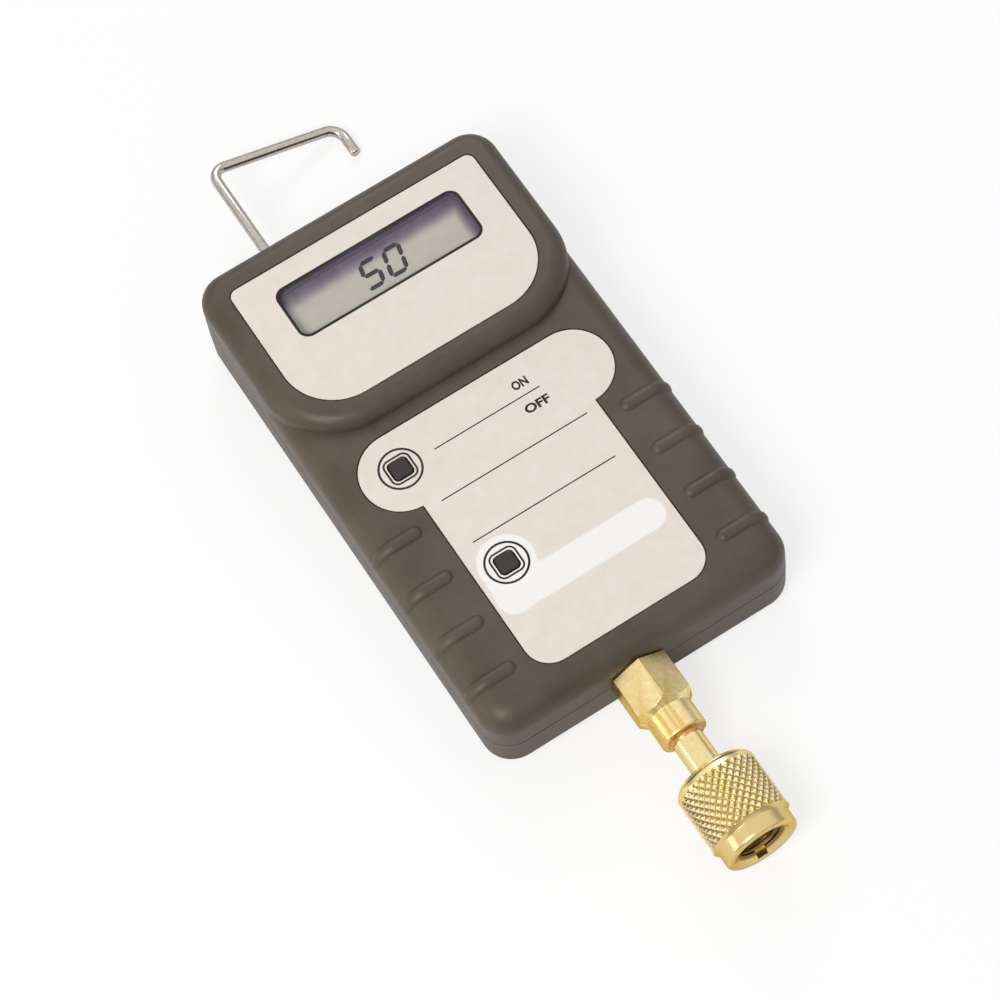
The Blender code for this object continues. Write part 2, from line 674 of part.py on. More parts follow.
def front_case(finish):
    case = solid("front_case", rolled_shell(case_outline, PARTING_HEIGHT + GAP / 2, BODY_HEIGHT, BODY_ROLL), finish)
    join(case, [head_shell()], "head")
    ribs = [grip_rib(side, RIB_LAST_Y + RIB_PITCH * number) for side in (-1, 1) for number in range(RIB_COUNT)]
    join(case, ribs, "rib")

    below = PARTING_HEIGHT - LIP_HEIGHT
    hollow = rolled_shell(lambda inset: case_outline(WALL + inset), below, BODY_ROOF, BODY_ROLL - WALL)
    rebate = slab(case_outline(LIP_INSET - GAP), below, PARTING_HEIGHT + LIP_HEIGHT + GAP)
    cut(case, [hollow, head_hollow()], "hollow")
    join(case, [fitting_pad(PARTING_HEIGHT - LIP_HEIGHT / 2, 1)], "pad")
    cut(case, [rebate], "rebate")

    posts = [screw_post(x, y, BOARD_POST_RADIUS, BOARD_POST_HOLE, ON_BOARD, BOARD_SCREW_BITE, roof)
             for x, y, roof in board_screw_places()]
    for x, y in case_screw_places():
        posts.append(screw_post(x, y, CASE_BOSS_RADIUS, CASE_SCREW_RADIUS + GAP, PARTING_HEIGHT + LIP_HEIGHT + GAP,
                                CASE_SCREW_BITE, HEAD_ROOF if y > 0 else BODY_ROOF))
    join(case, posts, "post")
    saddle = arch(HOOK_X, HOOK_Z, HOOK_SADDLE_RADIUS, PARTING_HEIGHT + GAP)
    inner_wall = HALF_LENGTH - WALL
    join(case, [slab_along_y(saddle, inner_wall - HOOK_SADDLE_LENGTH, HALF_LENGTH - LIP_INSET + GAP * 2)], "saddle")

    label_floor = LABEL_THICKNESS + GAP
    pane_floor = HEAD_HEIGHT - label_floor - WINDOW_THICKNESS - GAP
    high = HEAD_HEIGHT + WALL
    openings = [slab(head_label_outline(GAP), HEAD_HEIGHT - label_floor, high),
                slab(keypad_outline(GAP), BODY_HEIGHT - label_floor, BODY_HEIGHT + WALL),
                slab(view_outline(WINDOW_OVERLAP + GAP), pane_floor, high),
                slab(view_outline(0), HEAD_ROOF - WALL, high)]
    openings += [slab(key_outline(x, y, GAP), BODY_ROOF - WALL, high) for x, y in button_places()]
    cut(case, openings, "opening")

    holes = [rod(WIRE_RADIUS + GAP, inner_wall - HOOK_SADDLE_LENGTH - GAP, HALF_LENGTH + GAP,
                 about_y(HOOK_X, HOOK_Z)),
             rod(SHANK_RADIUS + GAP, -HALF_LENGTH - GAP, -HALF_LENGTH + 2 * WALL,
                 about_y(FITTING_X, FITTING_Z), TURNED_SEGMENTS)]
    cut(case, holes, "hole")
    return case


def rear_case(finish):
    case = solid("rear_case", rolled_shell(case_outline, PARTING_HEIGHT - GAP / 2, 0, BACK_ROLL), finish)
    join(case, [slab(case_outline(LIP_INSET), PARTING_HEIGHT - WALL, PARTING_HEIGHT + LIP_HEIGHT)], "lip")
    above = PARTING_HEIGHT + WALL
    hollow = rolled_shell(lambda inset: case_outline(WALL + inset), above, WALL, BACK_ROLL - WALL)
    cut(case, [hollow], "hollow")
    join(case, [fitting_pad(PARTING_HEIGHT + LIP_HEIGHT / 2, -1)], "pad")

    foot_top = CASE_SCREW_SINK + CASE_BOSS_FOOT_TOP
    bosses = []
    for x, y in case_screw_places():
        profile = [(0, WALL - GAP), (CASE_BOSS_FOOT_RADIUS, WALL - GAP), (CASE_BOSS_FOOT_RADIUS, foot_top),
                   (CASE_BOSS_RADIUS, foot_top + GAP), (CASE_BOSS_RADIUS, PARTING_HEIGHT + LIP_HEIGHT),
                   (0, PARTING_HEIGHT + LIP_HEIGHT)]
        bosses.append(turned(profile, about_z(x, y), SMALL_SEGMENTS))
    join(case, bosses, "boss")
    wall_top = PARTING_HEIGHT - BAY_WALL_TOP_CLEARANCE
    join(case, [box(BAY_LEFT - BAY_WALL, BAY_RIGHT + BAY_WALL, BAY_LOW - BAY_WALL, BAY_HIGH + BAY_WALL,
                    WALL - GAP, wall_top)], "bay")
    cut(case, [box(BAY_LEFT, BAY_RIGHT, BAY_LOW, BAY_HIGH, -WALL, above + WALL)], "bay_space")

    slot_reach = TONGUE_LENGTH + 2 * GAP
    slot_top = DOOR_LIP + slot_reach
    slots = [box(x - TONGUE_WIDTH / 2 - GAP, x + TONGUE_WIDTH / 2 + GAP, BAY_LOW - slot_reach, BAY_LOW + GAP,
                 DOOR_LIP, slot_top) for x in tongue_places()]
    half_notch = FINGER_NOTCH_WIDTH / 2
    notch = rounded_rectangle(BATTERY_MIDDLE_X - half_notch, BATTERY_MIDDLE_X + half_notch, BAY_HIGH - GAP,
                              BAY_HIGH + FINGER_NOTCH_LENGTH, SMALLEST_RADIUS, FINGER_NOTCH_LENGTH - GAP)
    slots.append(slab(notch, -WALL, FINGER_NOTCH_DEPTH))
    cut(case, slots, "slot")

    holes = []
    for x, y in case_screw_places():
        profile = [(0, -WALL), (CASE_SCREW_HEAD_RADIUS + GAP, -WALL),
                   (CASE_SCREW_HEAD_RADIUS + GAP, CASE_SCREW_SINK),
                   (CASE_SCREW_RADIUS + GAP, CASE_SCREW_SINK), (CASE_SCREW_RADIUS + GAP, above), (0, above)]
        holes.append(turned(profile, about_z(x, y, math.pi / SMALL_SEGMENTS), SMALL_SEGMENTS))
    holes.append(rod(SHANK_RADIUS + GAP, -HALF_LENGTH - GAP, -HALF_LENGTH + 2 * WALL,
                     about_y(FITTING_X, FITTING_Z), TURNED_SEGMENTS))
    saddle = HOOK_SADDLE_RADIUS + GAP
    holes.append(box(HOOK_X - saddle, HOOK_X + saddle, HALF_LENGTH - 2 * WALL, HALF_LENGTH - LIP_INSET + GAP,
                     PARTING_HEIGHT - GAP, above))
    cut(case, holes, "hole")
    return case


def tongue_places():
    return (BATTERY_MIDDLE_X - TONGUE_SPACING / 2, BATTERY_MIDDLE_X + TONGUE_SPACING / 2)


def battery_door(finish):
    """Plate with two tongues at its low end and finger grips at the other."""
    thickness = WALL - GAP
    low = BAY_LOW + 2 * GAP
    hinge = (BATTERY_MIDDLE_X, BAY_LOW, DOOR_LIP)
    door = solid("battery_door", box(BAY_LEFT + GAP, BAY_RIGHT - GAP, low, BAY_HIGH - GAP, 0, thickness),
                 finish, hinge)
    tongue_low = DOOR_LIP + GAP
    tongues = [box(x - TONGUE_WIDTH / 2, x + TONGUE_WIDTH / 2, BAY_LOW - TONGUE_LENGTH, low + TONGUE_LENGTH,
                   tongue_low, tongue_low + TONGUE_THICKNESS) for x in tongue_places()]
    join(door, tongues, "tongue")
    half = DOOR_GRIP_LENGTH / 2
    grips = []
    for number in range(DOOR_GRIP_COUNT):
        y = BAY_HIGH - GAP - DOOR_GRIP_EDGE - DOOR_GRIP_PITCH * number
        grips.append(box(BATTERY_MIDDLE_X - half, BATTERY_MIDDLE_X + half, y - DOOR_GRIP_WIDTH, y,
                         -GAP, DOOR_GRIP_DEPTH))
    cut(door, grips, "grip")
    return door


# Overlays and display

def overlays(finish):
    head = solid("head_label", slab(head_label_outline(0), HEAD_HEIGHT - LABEL_THICKNESS, HEAD_HEIGHT), finish)
    cut(head, [slab(view_outline(0), HEAD_ROOF, HEAD_HEIGHT + WALL)], "view")
    keypad = solid("keypad_label", slab(keypad_outline(0), BODY_HEIGHT - LABEL_THICKNESS, BODY_HEIGHT), finish)
    cut(keypad, [slab(key_outline(x, y, GAP), BODY_ROOF, HEAD_HEIGHT) for x, y in button_places()], "key")


def display(clear, glass, frame_finish, rubber):
    pane_top = HEAD_HEIGHT - LABEL_THICKNESS - GAP
    solid("display_window", slab(view_outline(WINDOW_OVERLAP), pane_top - WINDOW_THICKNESS, pane_top), clear)

    def rectangle(half_width, half_height, low, high):
        return box(DISPLAY_X - half_width, DISPLAY_X + half_width,
                   DISPLAY_Y - half_height, DISPLAY_Y + half_height, low, high)

    solid("display_glass", rectangle(GLASS_WIDTH / 2, GLASS_HEIGHT / 2, GLASS_BOTTOM, GLASS_TOP), glass)
    frame = solid("display_frame", rectangle(FRAME_HALF_WIDTH, FRAME_HALF_HEIGHT, ON_BOARD, GLASS_TOP), frame_finish)
    pocket = rectangle(GLASS_WIDTH / 2 + GAP, GLASS_HEIGHT / 2 + GAP, GLASS_BOTTOM - GAP, GLASS_TOP + WALL)
    strip_half = STRIP_LENGTH / 2 + GAP
    strip_space = STRIP_THICKNESS / 2 + GAP
    middle_half = STRIP_Y - strip_space - FRAME_RIB
    spaces = [pocket, rectangle(strip_half, middle_half, ON_BOARD - WALL, GLASS_TOP)]
    for side in (-1, 1):
        y = DISPLAY_Y + side * STRIP_Y
        spaces.append(box(DISPLAY_X - strip_half, DISPLAY_X + strip_half, y - strip_space, y + strip_space,
                          ON_BOARD - WALL, GLASS_TOP))
    cut(frame, spaces, "space")
    for name, side in (("contact_strip_lower", -1), ("contact_strip_upper", 1)):
        y = DISPLAY_Y + side * STRIP_Y
        solid(name, box(DISPLAY_X - STRIP_LENGTH / 2, DISPLAY_X + STRIP_LENGTH / 2, y - STRIP_THICKNESS / 2,
                        y + STRIP_THICKNESS / 2, ON_BOARD, GLASS_BOTTOM - GAP), rubber)


# Circuit board and what it carries

def circuit_board(finish):
    half = BOARD_HALF_WIDTH
    shoulder = BOARD_HIGH - BOARD_CORNER_CUT
    outline = [(-half, BOARD_LOW), (BOARD_INNER_X, BOARD_LOW), (BOARD_INNER_X, BOARD_STEP_Y), (half, BOARD_STEP_Y),
               (half, shoulder), (FRAME_HALF_WIDTH, shoulder), (FRAME_HALF_WIDTH, BOARD_HIGH),
               (-FRAME_HALF_WIDTH, BOARD_HIGH), (-FRAME_HALF_WIDTH, shoulder), (-half, shoulder)]
    board = solid("circuit_board", slab(outline, BOARD_BOTTOM, BOARD_TOP), finish)
    notch = SHANK_RADIUS + GAP
    cuts = [box(FITTING_X - notch, FITTING_X + notch, BOARD_LOW - WALL, BOARD_LOW + BOARD_NOTCH_DEPTH,
                BOARD_BOTTOM - WALL, BOARD_TOP + WALL)]
    cuts += [rod(BOARD_SCREW_RADIUS + GAP, BOARD_BOTTOM - WALL, BOARD_TOP + WALL, about_z(x, y))
             for x, y, roof in board_screw_places()]
    cut(board, cuts, "hole")


def board_parts(chip, plated, sleeve):
    """Chips, crystal and capacitor soldered under the board."""
    crystal_x = DISPLAY_X + PROCESSOR_SIDE / 2 + PART_SPACING
    parts = (("microcontroller", DISPLAY_X, DISPLAY_Y, PROCESSOR_SIDE, PROCESSOR_SIDE, PROCESSOR_HEIGHT, chip),
             ("amplifier_chip", -BOARD_HALF_WIDTH + AMPLIFIER_EDGE, BOARD_LOW + AMPLIFIER_END,
              AMPLIFIER_WIDTH, AMPLIFIER_LENGTH, AMPLIFIER_HEIGHT, chip),
             ("crystal", crystal_x, DISPLAY_Y, CRYSTAL_WIDTH, CRYSTAL_LENGTH, CRYSTAL_HEIGHT, plated))
    for name, x, y, width, length, height, finish in parts:
        outline = rounded_rectangle(x - width / 2, x + width / 2, y - length / 2, y + length / 2, SMALLEST_RADIUS)
        solid(name, slab(outline, UNDER_BOARD - height, UNDER_BOARD), finish)
    capacitor_x = DISPLAY_X - PROCESSOR_SIDE / 2 - PART_SPACING
    solid("filter_capacitor", rod(CAPACITOR_RADIUS, UNDER_BOARD - CAPACITOR_HEIGHT, UNDER_BOARD,
                                  about_z(capacitor_x, DISPLAY_Y), TURNED_SEGMENTS), sleeve)


def board_screws(steel):
    """Screws with their heads under the board."""
    head_top = BOARD_BOTTOM - GAP
    head_low = head_top - BOARD_SCREW_HEAD_HEIGHT
    end = ON_BOARD + BOARD_SCREW_BITE
    for number, (x, y, roof) in enumerate(board_screw_places(), 1):
        profile = [(0, head_low), (BOARD_SCREW_HEAD_RADIUS, head_low), (BOARD_SCREW_HEAD_RADIUS, head_top),
                   (BOARD_SCREW_RADIUS, head_top), (BOARD_SCREW_RADIUS, end), (0, end)]
        solid(f"board_screw_{number}", turned(profile, about_z(x, y), SMALL_SEGMENTS), steel)


def case_screws(steel):
    head_top = CASE_SCREW_SINK - GAP
    head_low = head_top - CASE_SCREW_HEAD_HEIGHT
    end = PARTING_HEIGHT + LIP_HEIGHT + GAP + CASE_SCREW_BITE
    for number, (x, y) in enumerate(case_screw_places(), 1):
        dome = CASE_SCREW_HEAD_RADIUS * CASE_SCREW_DOME_SHARE
        profile = [(0, head_low), (dome, head_low), (CASE_SCREW_HEAD_RADIUS, head_low + GAP),
                   (CASE_SCREW_HEAD_RADIUS, head_top), (CASE_SCREW_RADIUS, head_top), (CASE_SCREW_RADIUS, end), (0, end)]
        screw = solid(f"case_screw_{number}", turned(profile, about_z(x, y), SMALL_SEGMENTS), steel)
        arm = CASE_SCREW_HEAD_RADIUS * CASE_SCREW_CROSS_SHARE
        thin = arm / 4
        cross = [(-arm, -thin), (-thin, -thin), (-thin, -arm), (thin, -arm), (thin, -thin), (arm, -thin),
                 (arm, thin), (thin, thin), (thin, arm), (-thin, arm), (-thin, thin), (-arm, thin)]
        cut(screw, [slab([(x + a, y + b) for a, b in cross], head_low - GAP, head_low + CASE_SCREW_HEAD_HEIGHT / 2)],
            "cross")


def push_button(name, x, y, key, body_finish, stem_finish):
    """Key cap with its flange, on a tact switch with its own stem."""
    flange_top = BODY_ROOF - GAP
    flange_low = flange_top - KEY_FLANGE_THICKNESS
    boss_low = flange_low - KEY_BOSS_HEIGHT
    cap = solid(f"{name}_button", slab(key_outline(x, y, 0), flange_low, BODY_HEIGHT + KEY_PROUD), key,
                (x, y, BODY_HEIGHT))
    profile = [(0, boss_low), (KEY_BOSS_RADIUS, boss_low), (KEY_BOSS_RADIUS, flange_low - GAP / 10),
               (KEY_FLANGE_RADIUS, flange_low - GAP / 10), (KEY_FLANGE_RADIUS, flange_top), (0, flange_top)]
    join(cap, [turned(profile, about_z(x, y), SMALL_SEGMENTS)], "flange")

    half = SWITCH_SIDE / 2
    bore_low = ON_BOARD + SWITCH_FLOOR
    switch = solid(f"{name}_switch", box(x - half, x + half, y - half, y + half, ON_BOARD, ON_BOARD + SWITCH_HEIGHT),
                   body_finish)
    cut(switch, [rod(STEM_RADIUS + GAP, bore_low, ON_BOARD + SWITCH_HEIGHT + WALL, about_z(x, y))], "bore")
    stem_low = bore_low + KEY_TRAVEL + GAP
    solid(f"{name}_switch_stem", rod(STEM_RADIUS, stem_low, boss_low - GAP, about_z(x, y)), stem_finish,
          (x, y, stem_low))


# Battery

def battery(finish):
    low = BATTERY_LOW
    outline = rounded_rectangle(BATTERY_LEFT, BATTERY_RIGHT, WALL, WALL + BATTERY_THICKNESS, BATTERY_EDGE_RADIUS)
    cell = solid("battery", slab_along_y(outline, low, BATTERY_HIGH), finish)
    for side, radius in ((-1, POSITIVE_RADIUS), (1, NEGATIVE_RADIUS)):
        x = BATTERY_MIDDLE_X + side * TERMINAL_SPACING / 2
        join(cell, [rod(radius, BATTERY_HIGH - GAP, BATTERY_HIGH + TERMINAL_HEIGHT, about_y(x, BATTERY_MIDDLE_Z))],
             f"terminal{radius > POSITIVE_RADIUS}")


def battery_snap(finish):
    """Clip on both terminals, with a socket for each."""
    half_height = SNAP_HEIGHT / 2
    outline = rounded_rectangle(BATTERY_LEFT + GAP, BATTERY_RIGHT - GAP, BATTERY_MIDDLE_Z - half_height,
                                BATTERY_MIDDLE_Z + half_height, half_height - GAP)
    snap = solid("battery_snap", slab_along_y(outline, SNAP_LOW, SNAP_HIGH), finish)
    sockets = []
    for side, radius in ((-1, POSITIVE_RADIUS), (1, NEGATIVE_RADIUS)):
        x = BATTERY_MIDDLE_X + side * TERMINAL_SPACING / 2
        sockets.append(rod(radius + GAP, SNAP_LOW - GAP, BATTERY_HIGH + TERMINAL_HEIGHT + GAP,
                           about_y(x, BATTERY_MIDDLE_Z)))
    cut(snap, sockets, "socket")


def battery_leads(red, black):
    """Two leads from the top of the snap, over the edge of the board and down to its pads."""
    snap_top = BATTERY_MIDDLE_Z + SNAP_HEIGHT / 2
    start_y = (SNAP_LOW + SNAP_HIGH) / 2
    ceiling = BODY_ROOF - GAP - LEAD_RADIUS
    pad = ON_BOARD
    for name, number, finish in (("red_lead", 0, red), ("black_lead", 1, black)):
        x = BATTERY_MIDDLE_X - LEAD_SIDE_STEP + LEAD_SPACING * number
        drop = ceiling - pad
        route = [(x, start_y, snap_top + GAP), (x, start_y + LEAD_RADIUS, ceiling - drop / 12),
                 (x - LEAD_RADIUS, SNAP_HIGH + LEAD_RADIUS, ceiling - drop / 20),
                 (x - LEAD_SPACING / 2, BOARD_STEP_Y + 2 * LEAD_RADIUS, ceiling - drop / 4),
                 (x - LEAD_SPACING / 2, BOARD_STEP_Y + 4 * LEAD_RADIUS, pad + drop / 3),
                 (x - LEAD_SPACING / 2, BOARD_STEP_Y + 4.5 * LEAD_RADIUS, pad)]
        path = smooth_route(route, 3)
        solid(name, swept(path, [LEAD_RADIUS] * len(path), LEAD_SEGMENTS), finish)


# Fitting, tube and coupling

def hex_fitting(brass):
    axis = about_y(FITTING_X, FITTING_Z)
    corner = HEX_ACROSS_FLATS / math.sqrt(3)
    flat = HEX_ACROSS_FLATS / 2
    fitting = solid("hex_fitting", slab_along_y(hexagon(HEX_ACROSS_FLATS, FITTING_X, FITTING_Z),
                                                HEX_START, SHOULDER_START), brass)
    chamfered = turned([(0, HEX_START + GAP), (flat, HEX_START + GAP), (corner, HEX_START - GAP), (corner, HEX_END),
                        (SHOULDER_RADIUS, SHOULDER_START + GAP), (0, SHOULDER_START + GAP)], axis, TURNED_SEGMENTS)
    combine(fitting, [chamfered], "INTERSECT", "chamfer")
    stem = turned([(0, SHANK_END), (SHANK_RADIUS - GAP, SHANK_END), (SHANK_RADIUS, SHANK_END - GAP),
                   (SHANK_RADIUS, HEX_START - GAP), (SHOULDER_RADIUS, HEX_END), (SHOULDER_RADIUS, SHOULDER_END + GAP),
                   (SHOULDER_RADIUS - GAP, SHOULDER_END), (0, SHOULDER_END)], axis, TURNED_SEGMENTS)
    join(fitting, [stem], "stem")
    chamber_end = HEX_START - SENSOR_BORE_PAST_WALL
    tube_hole = TUBE_RADIUS + GAP
    bore = turned([(0, SHANK_END + WALL), (SENSOR_BORE_RADIUS, SHANK_END + WALL), (SENSOR_BORE_RADIUS, chamber_end),
                   (TUBE_BORE_RADIUS, chamber_end), (TUBE_BORE_RADIUS, TUBE_START + GAP),
                   (tube_hole, TUBE_START + GAP), (tube_hole, SHOULDER_END - WALL), (0, SHOULDER_END - WALL)],
                  axis, TURNED_SEGMENTS)
    cut(fitting, [bore], "bore")


def fitting_fasteners(steel, brass):
    axis = about_y(FITTING_X, FITTING_Z)
    hole = SHANK_RADIUS + GAP
    washer_end = -HALF_LENGTH + WALL + FITTING_PAD + GAP
    washer_start = washer_end + WASHER_THICKNESS
    solid("fitting_washer", tube(hole, WASHER_RADIUS, washer_end, washer_start, axis), steel)
    nut_end = washer_start + GAP
    nut = solid("lock_nut", slab_along_y(hexagon(HEX_ACROSS_FLATS, FITTING_X, FITTING_Z), nut_end,
                                         nut_end + LOCK_NUT_LENGTH), brass)
    cut(nut, [rod(hole, nut_end - WALL, nut_end + LOCK_NUT_LENGTH + WALL, axis, TURNED_SEGMENTS)], "hole")


def sensor(ceramic, wire, glass):
    """Sealed header in the end of the shank, and the thermistor bead on its two wires."""
    axis = about_y(FITTING_X, FITTING_Z)
    header_end = SHANK_END - HEADER_RECESS
    header_start = header_end - HEADER_THICKNESS
    header = solid("sensor_header", rod(SENSOR_BORE_RADIUS - GAP, header_start, header_end, axis, TURNED_SEGMENTS),
                   ceramic)
    pin_z = ON_BOARD + HEADER_PIN_RADIUS
    landing = BOARD_LOW + BOARD_NOTCH_DEPTH + HEADER_PIN_LANDING
    inner_end = header_start - HEADER_PIN_INNER_LENGTH
    pin_xs = [FITTING_X + side * HEADER_PIN_SPACING / 2 for side in (-1, 1)]
    join(header, [rod(HEADER_PIN_RADIUS, inner_end, landing, about_y(x, pin_z), LEAD_SEGMENTS) for x in pin_xs], "pin")

    bead_y = header_start - BEAD_DISTANCE
    bead_profile = [(BEAD_RADIUS * math.sin(math.pi * step / 8), bead_y - BEAD_RADIUS * math.cos(math.pi * step / 8))
                    for step in range(9)]
    bead_profile[0] = (0, bead_profile[0][1])
    bead_profile[-1] = (0, bead_profile[-1][1])
    bead = solid("thermistor_bead", turned(bead_profile, axis, SMALL_SEGMENTS), glass)
    wires = []
    for side, x in zip((-1, 1), pin_xs):
        start = (FITTING_X + side * BEAD_RADIUS / 2, bead_y + BEAD_RADIUS / 4, FITTING_Z)
        bend = (x, inner_end - 3 * GAP, pin_z)
        end = (x, inner_end - GAP, pin_z)
        wires.append(swept([start, bend, end], [BEAD_WIRE_RADIUS] * 3, LEAD_SEGMENTS))
    join(bead, wires, "wire")


def inlet_tube(copper_brass, braze):
    axis = about_y(FITTING_X, FITTING_Z)
    cone_start = SEAT_Y + (NUT_HOLE_RADIUS - TUBE_RADIUS) - GAP * math.sqrt(2)
    flare_edge = cone_start - (FLARE_RADIUS - TUBE_RADIUS)
    wall = TUBE_RADIUS - TUBE_BORE_RADIUS
    profile = [(TUBE_BORE_RADIUS, TUBE_START), (TUBE_RADIUS, TUBE_START), (TUBE_RADIUS, cone_start),
               (FLARE_RADIUS, flare_edge), (FLARE_RADIUS, FLARE_END), (FLARE_RADIUS - wall, FLARE_END),
               (TUBE_BORE_RADIUS, FLARE_END + FLARE_RADIUS - wall - TUBE_BORE_RADIUS)]
    solid("inlet_tube", turned(profile, axis, TURNED_SEGMENTS, True), copper_brass)
    hole = TUBE_RADIUS + GAP
    end = BRAZE_START - BRAZE_LENGTH
    full = SHOULDER_RADIUS - GAP
    hollow = (full + BRAZE_END_RADIUS) / 2 - GAP
    ring = [(hole, BRAZE_START), (full, BRAZE_START), (hollow, (BRAZE_START + end) / 2), (BRAZE_END_RADIUS, end),
            (hole, end)]
    solid("braze_ring", turned(ring, axis, TURNED_SEGMENTS, True), braze)


def coupling_nut(brass):
    """Swivel nut. Every second point of the knurled band stands up, which makes rows of pyramids whose
    valleys run both ways across the band as a diamond knurl."""
    axis = about_y(FITTING_X, FITTING_Z)
    segments = 2 * KNURL_DIAMONDS
    knurl_start = NUT_REAR - NUT_SHOULDER_LENGTH
    knurl_end = knurl_start - KNURL_LENGTH
    collar_start = knurl_end - COLLAR_STEP
    valley = NUT_RADIUS - KNURL_DEPTH
    rows = 2 * KNURL_ROWS
    rear = [(NUT_HOLE_RADIUS, NUT_REAR), (NUT_REAR_RIM_RADIUS - 2 * GAP, NUT_REAR),
            (NUT_REAR_RIM_RADIUS, NUT_REAR - 2 * GAP)]
    for step in (1, 2):
        turn = math.pi / 2 * step / 3
        rear.append((NUT_REAR_RIM_RADIUS + (valley - NUT_REAR_RIM_RADIUS) * math.sin(turn),
                     NUT_REAR - 2 * GAP - (NUT_SHOULDER_LENGTH - 2 * GAP) * (1 - math.cos(turn))))
    knurl = [(valley, knurl_start - KNURL_LENGTH * row / rows) for row in range(rows + 1)]
    front = [(COLLAR_RADIUS, collar_start), (COLLAR_RADIUS, NUT_FACE + COLLAR_EDGE)]
    for step in (1, 2):
        turn = math.pi / 2 * step / 2
        front.append((COLLAR_RADIUS - COLLAR_EDGE * (1 - math.cos(turn)), NUT_FACE + COLLAR_EDGE * (1 - math.sin(turn))))
    inside = [(MOUTH_RADIUS, NUT_FACE), (NUT_BORE_RADIUS, NUT_FACE + MOUTH_CHAMFER),
              (NUT_BORE_RADIUS, SEAT_Y - (NUT_BORE_RADIUS - NUT_HOLE_RADIUS)), (NUT_HOLE_RADIUS, SEAT_Y)]
    profile = rear + knurl + front + inside
    points, faces = turned(profile, axis, segments, True)
    first = len(rear)
    for row in range(1, rows):
        for step in range(segments):
            if (row + step) % 2:
                angle = 2 * math.pi * step / segments
                points[(first + row) * segments + step] = axis(NUT_RADIUS, angle, profile[first + row][1])
    split = []
    for number, face in enumerate(faces):
        row = number // segments - first
        if 0 <= row < rows:
            step = number % segments
            a, b, c, d = face
            split += [(a, b, c), (a, c, d)] if (row + step) % 2 == 0 else [(b, c, d), (b, d, a)]
        else:
            split.append(face)
    nut = solid("coupling_nut", (points, split), brass, (FITTING_X, (NUT_REAR + NUT_FACE) / 2, FITTING_Z))
    half = NUT_NOTCH_WIDTH / 2
    cut(nut, [box(FITTING_X - half, FITTING_X + half, NUT_FACE - WALL, NUT_FACE + NUT_NOTCH_DEPTH,
                  FITTING_Z - MOUTH_RADIUS + GAP, FITTING_Z - NUT_BORE_RADIUS + NUT_NOTCH_DEPTH)], "notch")


def coupling_inside(rubber, brass):
    axis = about_y(FITTING_X, FITTING_Z)
    place = (FITTING_X, (NUT_REAR + NUT_FACE) / 2, FITTING_Z)
    outer = NUT_BORE_RADIUS - GAP
    solid("coupling_gasket", tube(GASKET_HOLE_RADIUS, outer, GASKET_START - GASKET_THICKNESS, GASKET_START, axis),
          rubber, place)
    bar_end = DEPRESSOR_START - DEPRESSOR_THICKNESS
    half = DEPRESSOR_WIDTH / 2
    reach = math.sqrt(outer ** 2 - half ** 2)
    bar = solid("core_depressor", box(FITTING_X - half, FITTING_X + half, bar_end, DEPRESSOR_START,
                                      FITTING_Z - reach, FITTING_Z + reach), brass, place)
    tip = bar_end - DEPRESSOR_PIN_LENGTH
    pin = turned([(0, bar_end + GAP), (DEPRESSOR_PIN_RADIUS, bar_end + GAP), (DEPRESSOR_PIN_RADIUS, tip + GAP),
                  (DEPRESSOR_PIN_RADIUS - GAP, tip), (0, tip)], axis, SMALL_SEGMENTS)
    join(bar, [pin], "pin")


# Hook

def hanging_hook(wire, spring_steel):
    """Leg through the top wall, a bar that slopes to the table, and a tip turned back to the case."""
    drop = HOOK_Z - WIRE_RADIUS
    slope = math.asin(drop / HOOK_BAR_LENGTH)
    along_bar = Vector((math.cos(slope), 0, -math.sin(slope)))
    along_leg = Vector((0, 1, 0))
    corner = Vector((HOOK_X, HOOK_BAR_Y, HOOK_Z))
    far_corner = corner + along_bar * HOOK_BAR_LENGTH
    inner_end = Vector((HOOK_X, HALF_LENGTH - HOOK_INNER_LENGTH, HOOK_Z))
    tip = far_corner - along_leg * HOOK_TIP_LENGTH
    radius = HOOK_BEND_RADIUS
    path = [inner_end]
    for place, arriving, leaving in ((corner, along_leg, along_bar), (far_corner, along_bar, -along_leg)):
        centre = place - arriving * radius + leaving * radius
        for step in range(CORNER_STEPS + 1):
            turn = math.pi / 2 * step / CORNER_STEPS
            path.append(centre - leaving * radius * math.cos(turn) + arriving * radius * math.sin(turn))
    path.append(tip)
    radii = [WIRE_RADIUS] * len(path)
    shape = swept(path, radii, WIRE_SEGMENTS)
    solid("hanging_hook", shape, wire, (HOOK_X, HALF_LENGTH, HOOK_Z))
    clip_end = HALF_LENGTH - WALL - HOOK_SADDLE_LENGTH - GAP
    solid("hook_clip", tube(WIRE_RADIUS + GAP, CLIP_RADIUS, clip_end - CLIP_THICKNESS, clip_end,
                            about_y(HOOK_X, HOOK_Z), SMALL_SEGMENTS), spring_steel, (HOOK_X, HALF_LENGTH, HOOK_Z))


